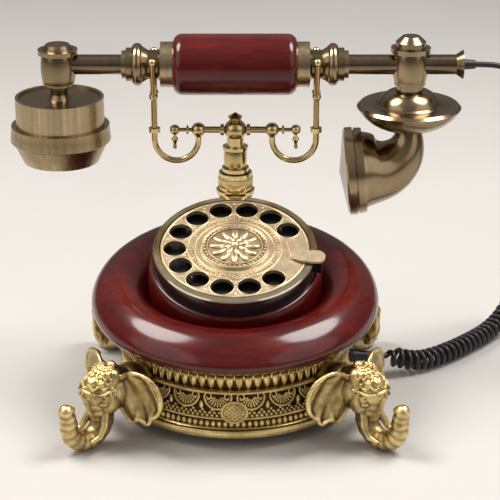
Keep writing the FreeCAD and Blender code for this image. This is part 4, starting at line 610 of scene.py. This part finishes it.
def base_relief():
    """Leaf teeth, bright lines, palmettes, filigree, beads, cartouche and rounded rim."""
    shape = Shape()
    tooth = Shape()
    blade = tube([point(0, 0, z) for z in TOOTH_LEVELS], TOOTH_RADII, sides=10)
    tooth.copies(blade, [Matrix.Diagonal((TOOTH_FLATNESS, 1.0, 1.0, 1.0))])
    tooth.copies(egg(TOOTH_SPINE), [at(*TOOTH_SPINE_PLACE)])
    shape.copies(tooth, around(TEETH, TOOTH_CIRCLE, TOOTH_HEIGHT, TOOTH_LEAN))
    shape.copies(egg(DART), around(TEETH, DART_CIRCLE, DART_HEIGHT, TOOTH_LEAN, start=math.pi / TEETH))
    for profile in RIM_PROFILES:
        shape.merge(lathe(profile, segments=160))
    for index in range(PALMETTES):
        palmette(shape, FRONT + FULL_TURN * (index + 0.5) / PALMETTES)
    spot = egg(SPOT)
    for row, (height, count) in enumerate(SPOT_ROWS):
        for index in range(count):
            centre = FULL_TURN * (index + 0.5 * (row % 2)) / count
            place = Matrix.Translation(on_band(centre, 0, height, SPOT_RISE))
            shape.copies(spot, [place @ spin(centre) @ spin(math.pi / 4, "X")])
    leaf = egg(LEAF)
    for index in range(PALMETTES):
        centre = FRONT + FULL_TURN * index / PALMETTES
        shape.copies(leaf, [Matrix.Translation(on_band(centre, 0, LEAF_HEIGHT, LEAF_RISE)) @ spin(centre)])
    shape.copies(egg(BEAD, rings=8, segments=10), around(BEADS, BEAD_CIRCLE, BEAD_HEIGHT))
    cartouche(shape)
    relief = shape.make("base_relief", GOLD)
    clear_of(relief, "line_jack")
    settle(relief, "root", "antique_gold")


base_relief()

# Elephant-head feet, each made along +X

# An ear's outline, as out from the head and up
EAR_EDGE = [
    (1.0, 12.0), (7.0, 16.5), (14.0, 17.0), (20.5, 14.0), (25.0, 7.5), (26.0, -0.5), (23.5, -7.5), (20.0, -11.0),
    (17.0, -16.0), (11.5, -14.5), (7.0, -17.5), (2.0, -12.0), (-2.0, -5.0), (-2.0, 5.0),
]
EAR_ROOT, EAR_SWEEP, EAR_SQUAT = (86.0, 8.0, 31.0), 0.30, 0.86
EAR_MIDDLE = np.array((11.0, 0.0))
EAR_ROWS, EAR_LEAST_SHARE = 6, 0.02
EAR_HALF_THICKNESS, EAR_SINK, EAR_DISH = 1.6, 1.0, 2.4
EAR_FOLD, EAR_FOLD_WAVES = 0.9, (0.55, 0.28)
EAR_ROLL, EAR_ROLL_RISE = 1.35, 2.0
# Centres and half-lengths: neck, skull and forehead, then crown lobe, cheek, eye and lower lid on each side
HEAD_LUMPS = [((75, 0, 29), (14, 13, 13.5)), ((88, 0, 32.5), (11.5, 11.5, 13)), ((92.5, 0, 37), (8.5, 9.5, 8.5))]
SIDE_LUMPS = [
    ((91, 4.4, 40.5), (6.0, 5.2, 5.4)), ((94, 6.2, 28), (6.5, 5.0, 7.5)), ((98.2, 8.0, 30.6), (3.0, 2.4, 2.4)),
    ((99.6, 8.8, 28.4), (2.6, 2.0, 1.3)),
]
TUSK_LINE = [(97, 6.0, 22), (99.5, 8.2, 15.0), (103.5, 8.8, 9.5)]
TUSK_TIP = (97.8, 8.4, 8.0)
TUSK_RADII = [2.5, 2.3, 1.8, 0.9]
TRUNK_X, TRUNK_TOP, TRUNK_CLEARANCE = 95.0, 35, 5.8
TRUNK_RIDGE, TRUNK_GROOVE = 0.09, -0.05
# Steps of the trunk's three stretches, the radius at the start of each and how much it loses on the way
HANG_STEPS, HANG_RADIUS, HANG_LOSS = 8, 8.8, 2.6
BEND_STEPS, BEND_RADIUS, BEND_LOSS = 16, 6.1, 1.3
RISE_STEPS, RISE_RADIUS, RISE_LOSS = 5, 4.8, 0.8
HANG_LEAN, HANG_SWING = 3.5, 1.3
RISE_STEP, RISE_LEAN = 1.9, 0.06
LIP, LIP_FORWARD, LIP_RISE = (4.7, 4.4, 2.0), 0.7, 10.4
FRONT_CURL, REAR_CURL = 11.2, 7.2
WELD_SIZE = 0.62
LOWEST = 0.02
# The headdress lies round this point on the head; its angles are in degrees
CROWN = Vector((89.5, 0, 35.0))
CROWN_REACH = 24.0
NET_STRANDS, NET_GAP, NET_SLANT, NET_EDGE = 6, 20, 0.8, 74
NET_FOOT, NET_TOP, NET_STEP = 4, 78, 5
NET_RADIUS, NET_LIFT = 0.6, 0.2
STUD, STUD_ROWS, STUD_STRANDS = (1.0, 1.0, 1.0), 6, 4
STUD_FOOT, STUD_RISE, STUD_EDGE, STUD_LIFT = 8, 12.5, 72, 0.3
FRINGE_EDGE, FRINGE_STEP, FRINGE_WAVE, FRINGE_WAVES = 75, 5, 3, 5
FRINGE_RADIUS, FRINGE_LIFT = 0.9, 0.4
DROP, DROP_EDGE, DROP_STEP, DROP_HEIGHT, DROP_LIFT = (0.9, 0.9, 1.4), 70, 14, -7, 0.3
KNOB, KNOB_TURN, KNOB_HEIGHT, KNOB_LIFT = (3.0, 3.0, 2.4), 180, 84, 0.4


def ear_point(side, out, up, depth):
    """A point of the ear: out from the head, up, and deep along the head."""
    return point(EAR_ROOT[0] - EAR_SWEEP * out + depth, side * (EAR_ROOT[1] + out), EAR_ROOT[2] + EAR_SQUAT * up)


def ear(shape, side):
    """A dished flap with a rolled edge and soft folds."""
    edge = smooth_line(EAR_EDGE, steps=4, closed=True)
    count = len(edge)
    verts = []
    for thick in (EAR_HALF_THICKNESS, -EAR_HALF_THICKNESS):
        for row in range(EAR_ROWS + 1):
            share = row / EAR_ROWS
            for knot in edge:
                out, up = EAR_MIDDLE + (knot - EAR_MIDDLE) * max(share, EAR_LEAST_SHARE)
                fold = EAR_FOLD * math.sin(EAR_FOLD_WAVES[0] * out + EAR_FOLD_WAVES[1] * up) * share
                verts.append(ear_point(side, out, up, thick + EAR_DISH * share ** 2 - EAR_SINK + fold))
    faces = []
    layer = (EAR_ROWS + 1) * count
    for start in (0, layer):
        faces.append(range(start, start + count))
        faces += ring_faces(EAR_ROWS + 1, count, start)
    outer, inner = EAR_ROWS * count, layer + EAR_ROWS * count
    for index in range(count):
        after = (index + 1) % count
        faces.append((outer + index, outer + after, inner + after, inner + index))
    shape.add(verts, faces)
    roll = [ear_point(side, out, up, EAR_ROLL_RISE) for out, up in edge]
    shape.merge(tube(roll + roll[:2], EAR_ROLL, sides=8))


def headdress(shape):
    """A net of cords with beads in its meshes, a fringe over the brow and a knob, laid on the head."""
    skin = BVHTree.FromPolygons(shape.verts, shape.faces)

    def crown_point(turn, rise, lift):
        turn, rise = math.radians(turn), math.radians(rise)
        way = Vector((math.cos(rise) * math.cos(turn), math.cos(rise) * math.sin(turn), math.sin(rise)))
        hit = skin.ray_cast((CROWN + way * CROWN_REACH) * MM, -way)[0]
        return hit + way * lift * MM

    def crown_place(turn, rise, lift):
        return Matrix.Translation(crown_point(turn, rise, lift))

    net = Shape()
    for slant in (-NET_SLANT, NET_SLANT):
        for strand in range(-NET_STRANDS, NET_STRANDS + 1):
            line = []
            for rise in range(NET_FOOT, NET_TOP, NET_STEP):
                turn = strand * NET_GAP + slant * (rise - NET_FOOT)
                if abs(turn) < NET_EDGE:
                    line.append(crown_point(turn, rise, NET_LIFT))
            if len(line) > 2:
                net.merge(tube(line, NET_RADIUS, sides=6))
    stud = egg(STUD)
    for row in range(STUD_ROWS):
        for strand in range(-STUD_STRANDS, STUD_STRANDS + 1):
            turn = (strand + 0.5 * (row % 2)) * NET_GAP
            if abs(turn) < STUD_EDGE:
                net.copies(stud, [crown_place(turn, STUD_FOOT + STUD_RISE * row, STUD_LIFT)])
    fringe = [crown_point(turn, FRINGE_WAVE * math.cos(math.radians(turn * FRINGE_WAVES)), FRINGE_LIFT)
              for turn in range(-FRINGE_EDGE, FRINGE_EDGE + 1, FRINGE_STEP)]
    net.merge(tube(fringe, FRINGE_RADIUS, sides=8))
    drop = egg(DROP)
    for turn in range(-DROP_EDGE, DROP_EDGE + 1, DROP_STEP):
        net.copies(drop, [crown_place(turn, DROP_HEIGHT, DROP_LIFT)])
    net.copies(egg(KNOB, rings=8, segments=12), [crown_place(KNOB_TURN, KNOB_HEIGHT, KNOB_LIFT)])
    shape.merge(net)


def trunk_line(curl):
    """Centres and radii down the hanging trunk, round its bend and up to its tip."""
    level = curl + TRUNK_CLEARANCE
    line = []
    for step in range(HANG_STEPS + 1):
        share = step / HANG_STEPS
        centre = (TRUNK_X + HANG_LEAN - HANG_LEAN * share ** HANG_SWING, 0, TRUNK_TOP - (TRUNK_TOP - level) * share)
        line.append((centre, HANG_RADIUS - HANG_LOSS * share))
    for step in range(1, BEND_STEPS + 1):
        share = step / BEND_STEPS
        angle = math.pi + math.pi * share
        centre = (TRUNK_X + curl + curl * math.cos(angle), 0, level + curl * math.sin(angle))
        line.append((centre, BEND_RADIUS - BEND_LOSS * share))
    for step in range(1, RISE_STEPS + 1):
        centre = (TRUNK_X + 2 * curl + RISE_LEAN * step * step, 0, level + RISE_STEP * step)
        line.append((centre, RISE_RADIUS - RISE_LOSS * step / RISE_STEPS))
    return line


def welded(flesh):
    """One smooth skin round forms that run into one another."""
    raw = flesh.make("elephant_raw", AGED)
    weld = raw.modifiers.new("weld", "REMESH")
    weld.mode = "VOXEL"
    weld.voxel_size = WELD_SIZE * MM
    soften = raw.modifiers.new("soften", "SMOOTH")
    soften.factor = 0.5
    soften.iterations = 2
    mesh = bpy.data.meshes.new_from_object(raw.evaluated_get(bpy.context.evaluated_depsgraph_get()))
    bpy.data.objects.remove(raw)
    return Shape([v.co.copy() for v in mesh.vertices], [list(p.vertices) for p in mesh.polygons])


def elephant_form(curl):
    """One head, welded from rounded forms, then its ornaments; curl is the trunk's bend radius."""
    flesh = Shape()

    def lump(centre, radii):
        flesh.copies(egg(radii, rings=16, segments=24), [at(*centre)])

    for centre, radii in HEAD_LUMPS:
        lump(centre, radii)
    for side in (-1, 1):
        for (x, y, z), radii in SIDE_LUMPS:
            lump((x, side * y, z), radii)
        ear(flesh, side)
        tusk = [*TUSK_LINE, (TUSK_TIP[0] + curl, *TUSK_TIP[1:])]
        flesh.merge(tube([point(x, side * y, z) for x, y, z in tusk], TUSK_RADII, sides=10))
    for index, (centre, radius) in enumerate(trunk_line(curl)):
        ridge = 1.0 + (TRUNK_RIDGE if index % 2 else TRUNK_GROOVE)
        lump(centre, (radius * ridge,) * 3)
    lump((TRUNK_X + LIP_FORWARD + 2 * curl, 0, curl + TRUNK_CLEARANCE + LIP_RISE), LIP)
    whole = welded(flesh)
    headdress(whole)
    for vert in whole.verts:
        vert.z = max(vert.z, LOWEST * MM)
    return whole


front_form = elephant_form(FRONT_CURL)
rear_form = elephant_form(REAR_CURL)
for corner, angle, form in (("front_right", -40, front_form), ("front_left", 220, front_form),
                            ("rear_right", 40, rear_form), ("rear_left", 140, rear_form)):
    foot = Shape().copies(form, [spin(math.radians(angle))])
    settle(foot.make(f"elephant_head_{corner}", AGED), "root", "antique_gold", f"elephant_{corner}")

# Dial ornament

HOLES = 12
FIRST_HOLE, HOLE_STEP = 27, 360 / 14
HOLE_CIRCLE = 33.6
HOLE_RIM = [(6.42, -1.6), (6.42, 0.1), (6.6, 0.42), (6.95, 0.42), (7.2, 0.0)]
# Radius and half-width of each raised line; its profile is shares of the half-width, and heights above the face
WHEEL_LINES = ((41.0, 0.55), (26.3, 0.45), (22.2, 0.5))
WHEEL_LINE_PROFILE = ((-1, -0.1), (-1, 0.25), (0, 0.5), (1, 0.25), (1, -0.1))
WHEEL_BEAD, WHEEL_BEADS, WHEEL_BEAD_CIRCLE, WHEEL_BEAD_RISE = (0.85, 0.85, 0.9), 64, 24.3, 0.2
OUTER_SPOT, OUTER_SPOT_CIRCLE = (0.9, 0.9, 0.5), 38.6
INNER_SPOT, INNER_SPOT_CIRCLE = (1.1, 0.7, 0.5), 29.2
DIAL_SPOT_RISE = 0.1
MEDALLION_TOP = 1.4
MEDALLION_LINES = ((18.6, 0.6), (15.4, 0.35))
MEDALLION_LINE_PROFILE = ((-1, -0.2), (-0.5, 0.35), (0, 0.55), (0.5, 0.35), (1, -0.2))
GRAIN, GRAINS, GRAIN_CIRCLE, GRAIN_RISE = (0.55, 0.8, 0.5), 40, 17.0, 0.1
# Number, circle and half-lengths of each ring of petals
PETALS = ((12, 9.8, (4.6, 2.1, 1.1)), (8, 5.4, (3.4, 1.7, 1.6)))
PETAL_TURN = 0.13
BUTTON, BUTTON_RISE = (2.6, 2.6, 2.2), 0.5


def on_dial(radius, angle, height=0.0):
    return DIAL @ at(radius * math.cos(angle), radius * math.sin(angle), height)


def round_dial(*place, **turn):
    return [DIAL @ matrix for matrix in around(*place, **turn)]


def raised_lines(shape, lines, profile, level, segments):
    for radius, width in lines:
        line = [(radius + width * share, level + rise) for share, rise in profile]
        shape.copies(lathe(line, segments), [DIAL])


def wheel_ornament():
    """Raised lines, beads and hole rims on the finger wheel, and the medallion's rosette."""
    shape = Shape()
    raised_lines(shape, WHEEL_LINES, WHEEL_LINE_PROFILE, level=0.0, segments=128)
    shape.copies(egg(WHEEL_BEAD), round_dial(WHEEL_BEADS, WHEEL_BEAD_CIRCLE, WHEEL_BEAD_RISE))
    rim = lathe(HOLE_RIM, segments=40)
    for index in range(HOLES):
        shape.copies(rim, [on_dial(HOLE_CIRCLE, math.radians(FIRST_HOLE + index * HOLE_STEP))])
    outer_spot = egg(OUTER_SPOT, segments=10)
    inner_spot = egg(INNER_SPOT, segments=10)
    for index in range(HOLES - 1):
        angle = math.radians(FIRST_HOLE + (index + 0.5) * HOLE_STEP)
        shape.copies(outer_spot, [on_dial(OUTER_SPOT_CIRCLE, angle, DIAL_SPOT_RISE)])
        shape.copies(inner_spot, [on_dial(INNER_SPOT_CIRCLE, angle, DIAL_SPOT_RISE) @ spin(angle)])
    raised_lines(shape, MEDALLION_LINES, MEDALLION_LINE_PROFILE, MEDALLION_TOP, segments=96)
    shape.copies(egg(GRAIN), round_dial(GRAINS, GRAIN_CIRCLE, MEDALLION_TOP + GRAIN_RISE))
    for count, radius, size in PETALS:
        petal = egg(size, rings=8, segments=12)
        shape.copies(petal, round_dial(count, radius, MEDALLION_TOP, start=PETAL_TURN * count))
    shape.copies(egg(BUTTON, rings=10, segments=16), [DIAL @ at(0, 0, MEDALLION_TOP + BUTTON_RISE)])
    settle(shape.make("wheel_ornament", PALE), "dial", "pale_gold")


wheel_ornament()

# Knurled collar under the barrel

RIDGES, RIDGE_CIRCLE = 44, 9.6
RIDGE_HEIGHTS = (113.6, 115.0, 119.5, 121.0)
RIDGE_RADII = [0.25, 0.62, 0.62, 0.25]

ridge = tube([point(0, 0, z) for z in RIDGE_HEIGHTS], RIDGE_RADII, sides=8)
knurling = Shape().copies(ridge, [NECK @ m for m in around(RIDGES, RIDGE_CIRCLE, 0)])
settle(knurling.make("collar_knurling", BRASS), "root", "polished_brass")

# Camera, floor and light, in metres

camera = link_object("camera", bpy.data.cameras.new("camera"))
camera.data.sensor_width = 36
camera.data.lens = 133.2
camera.data.clip_end = 50
camera.location = (0.0085, -0.9758, 0.4753)
camera.rotation_euler = (math.radians(68.5), 0, 0)
bpy.context.scene.camera = camera

FLOOR_TONES = [(0.3, (0.52, 0.505, 0.485)), (0.7, (0.56, 0.545, 0.525))]
FLOOR_REACH = 4

floor_paint = Paint("pale_floor", Roughness=0.6)
floor_paint.colour(floor_paint.ramp(floor_paint.noise(3.0), FLOOR_TONES))
corners = [(x * FLOOR_REACH, y * FLOOR_REACH, 0) for x, y in ((-1, -1), (1, -1), (1, 1), (-1, 1))]
floor = Shape(corners, [(0, 1, 2, 3)])
floor.make("floor", floor_paint.material)

LAMP_TARGET = Vector((0, 0, 0.1))
# Place, size, power and colour
LAMPS = {
    "softbox_left": ((-0.62, 0.10, 1.15), 0.65, 14.0, (1.0, 0.96, 0.92)),
    "softbox_right": ((0.62, 0.10, 1.15), 0.65, 14.0, (1.0, 0.97, 0.94)),
    "fill_left": ((-1.15, -0.75, 0.85), 1.5, 5.0, (1.0, 0.96, 0.90)),
    "fill_right": ((1.15, -0.75, 0.85), 1.5, 4.5, (1.0, 0.97, 0.93)),
}
for name, (place, size, power, colour) in LAMPS.items():
    lamp = link_object(name, bpy.data.lights.new(name, "AREA"))
    lamp.data.shape = "DISK"
    lamp.data.size = size
    lamp.data.energy = power
    lamp.data.color = colour
    lamp.location = place
    lamp.rotation_euler = (LAMP_TARGET - Vector(place)).to_track_quat("-Z", "Y").to_euler()

# Where the sky's shading starts and ends between straight down at 0 and straight up at 1, and its tones there
SKY_TONES = [(0.42, (0.06, 0.05, 0.042)), (0.85, (0.34, 0.33, 0.32))]

world = bpy.data.worlds.new("studio")
world.use_nodes = True
bpy.context.scene.world = world
sky = world.node_tree
way = sky.nodes.new("ShaderNodeTexCoord")
parts = sky.nodes.new("ShaderNodeSeparateXYZ")
height = sky.nodes.new("ShaderNodeMapRange")
height.inputs["From Min"].default_value = -1.0
shade = sky.nodes.new("ShaderNodeValToRGB")
for element, (place, colour) in zip(shade.color_ramp.elements, SKY_TONES):
    element.position = place
    element.color = (*colour, 1.0)
sky.links.new(way.outputs["Generated"], parts.inputs["Vector"])
sky.links.new(parts.outputs["Z"], height.inputs["Value"])
sky.links.new(height.outputs["Result"], shade.inputs["Fac"])
sky.links.new(shade.outputs["Color"], sky.nodes["Background"].inputs["Color"])
bpy.context.scene.view_settings.view_transform = "Standard"
